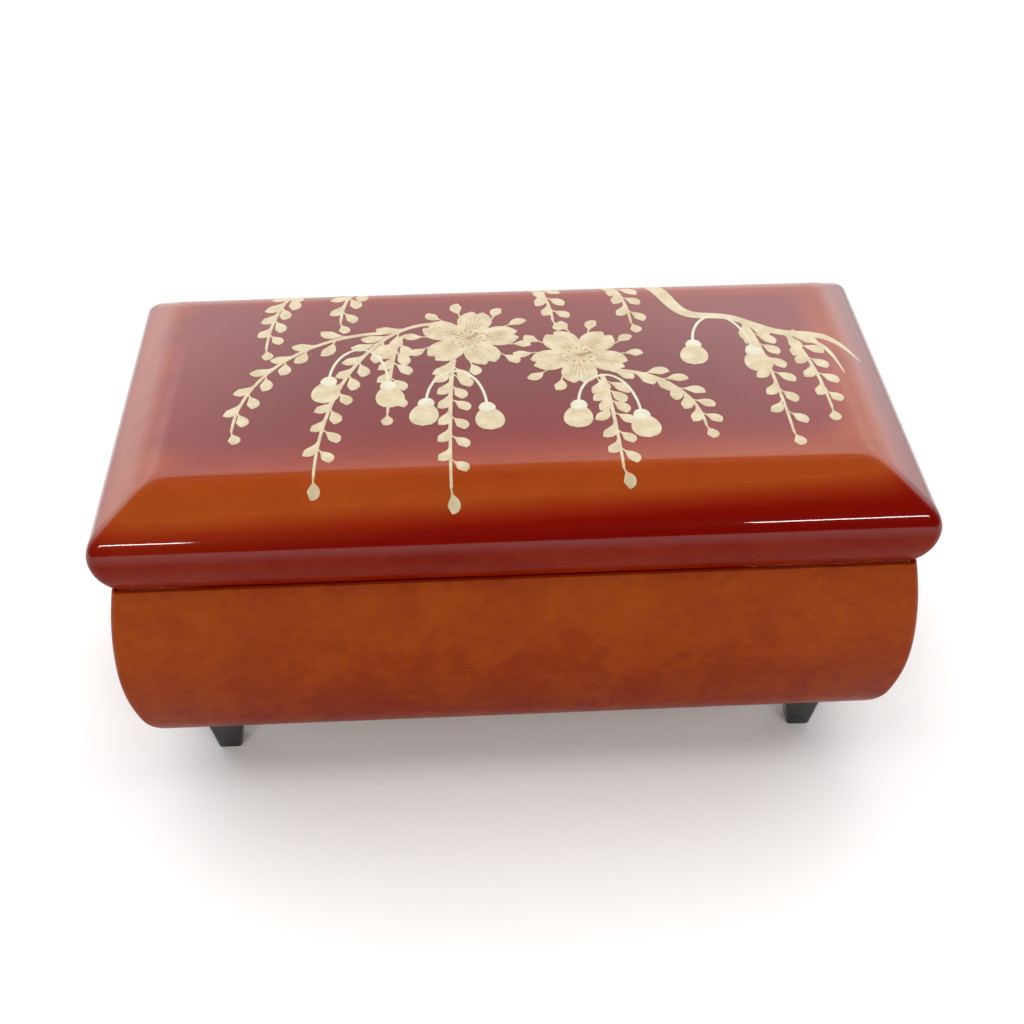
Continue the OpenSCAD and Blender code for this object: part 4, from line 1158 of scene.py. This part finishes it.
def build_world():
    """Plain white to the camera; to reflections, a bright sweep behind the box and a dim room elsewhere."""
    world = bpy.data.worlds.new("studio")
    bpy.context.scene.world = world
    world.use_nodes = True
    tree = world.node_tree
    background = tree.nodes["Background"]
    coord = tree.nodes.new("ShaderNodeTexCoord")
    split = tree.nodes.new("ShaderNodeSeparateXYZ")
    tree.links.new(coord.outputs["Generated"], split.inputs[0])

    def ranged(value, lo, hi, a, b, smooth=True):
        node = tree.nodes.new("ShaderNodeMapRange")
        node.interpolation_type = "SMOOTHSTEP" if smooth else "LINEAR"
        node.clamp = smooth
        tree.links.new(value, node.inputs["Value"])
        for key, v in zip(("From Min", "From Max", "To Min", "To Max"), (lo, hi, a, b)):
            node.inputs[key].default_value = v
        return node.outputs["Result"]

    def times(a, b):
        node = tree.nodes.new("ShaderNodeMath")
        node.operation = "MULTIPLY"
        tree.links.new(a, node.inputs[0])
        tree.links.new(b, node.inputs[1])
        return node.outputs[0]

    across = tree.nodes.new("ShaderNodeMath")
    across.operation = "ABSOLUTE"
    tree.links.new(split.outputs["X"], across.inputs[0])
    behind = ranged(split.outputs["Y"], 0.0, 0.5, 0.0, 1.0)
    sideways = ranged(across.outputs[0], 0.05, 0.20, 1.0, 1.3)
    rise = tree.nodes.new("ShaderNodeValToRGB")
    tree.links.new(split.outputs["Z"], rise.inputs["Fac"])
    while len(rise.color_ramp.elements) < len(SWEEP):
        rise.color_ramp.elements.new(0.5)
    for element, (height, share) in zip(rise.color_ramp.elements, SWEEP):
        element.position = height
        element.color = (share, share, share, 1)
    lobe = times(times(behind, sideways), rise.outputs["Color"])
    strength = ranged(lobe, 0.0, 1.0, WORLD_DIM, WORLD_BRIGHT, smooth=False)
    seen = tree.nodes.new("ShaderNodeLightPath").outputs["Is Camera Ray"]
    shown = tree.nodes.new("ShaderNodeMix")
    tree.links.new(seen, shown.inputs["Factor"])
    tree.links.new(strength, shown.inputs["A"])
    shown.inputs["B"].default_value = 1.0
    tree.links.new(shown.outputs["Result"], background.inputs["Strength"])
    background.inputs["Color"].default_value = (0.97, 0.98, 1.0, 1)


def set_film():
    """Plain colours with slightly deepened blacks, like a product photograph."""
    view = bpy.context.scene.view_settings
    view.view_transform = "Standard"
    view.look = "None"
    view.use_curve_mapping = True
    view.curve_mapping.black_level = (0.012, 0.012, 0.012)
    view.curve_mapping.update()


def build_stage():
    half = FLOOR_HALF
    floor = make_object("floor", [(-half, -half, 0), (half, -half, 0), (half, half, 0), (-half, half, 0)],
                        [(0, 1, 2, 3)])
    floor.modifiers.clear()
    paint(floor, floor_paper())
    build_world()
    area_light("overhead", (-0.05, 0.20, 1.30), 1.9, 1.6, 20, False, (1.0, 0.99, 0.97))
    area_light("front_fill", (0.0, -1.10, 1.00), 1.4, 0.9, 4, False, (1.0, 0.99, 0.98))
    azimuth = math.radians(WINDOW_AZIMUTH)
    for name, side in (("window_left", -1), ("window_right", 1)):
        where = (side * WINDOW_REACH * math.sin(azimuth), -WINDOW_REACH * math.cos(azimuth), WINDOW_RISE)
        area_light(name, where, 0.62, 0.10, 6, True)


set_film()
dress_cad_nodes()
build_camera()
build_stage()
build_sides()
build_feet()
build_lid()
build_lid_inside()
build_painting()
build_interior()
cylinder_pins()
comb_weights()
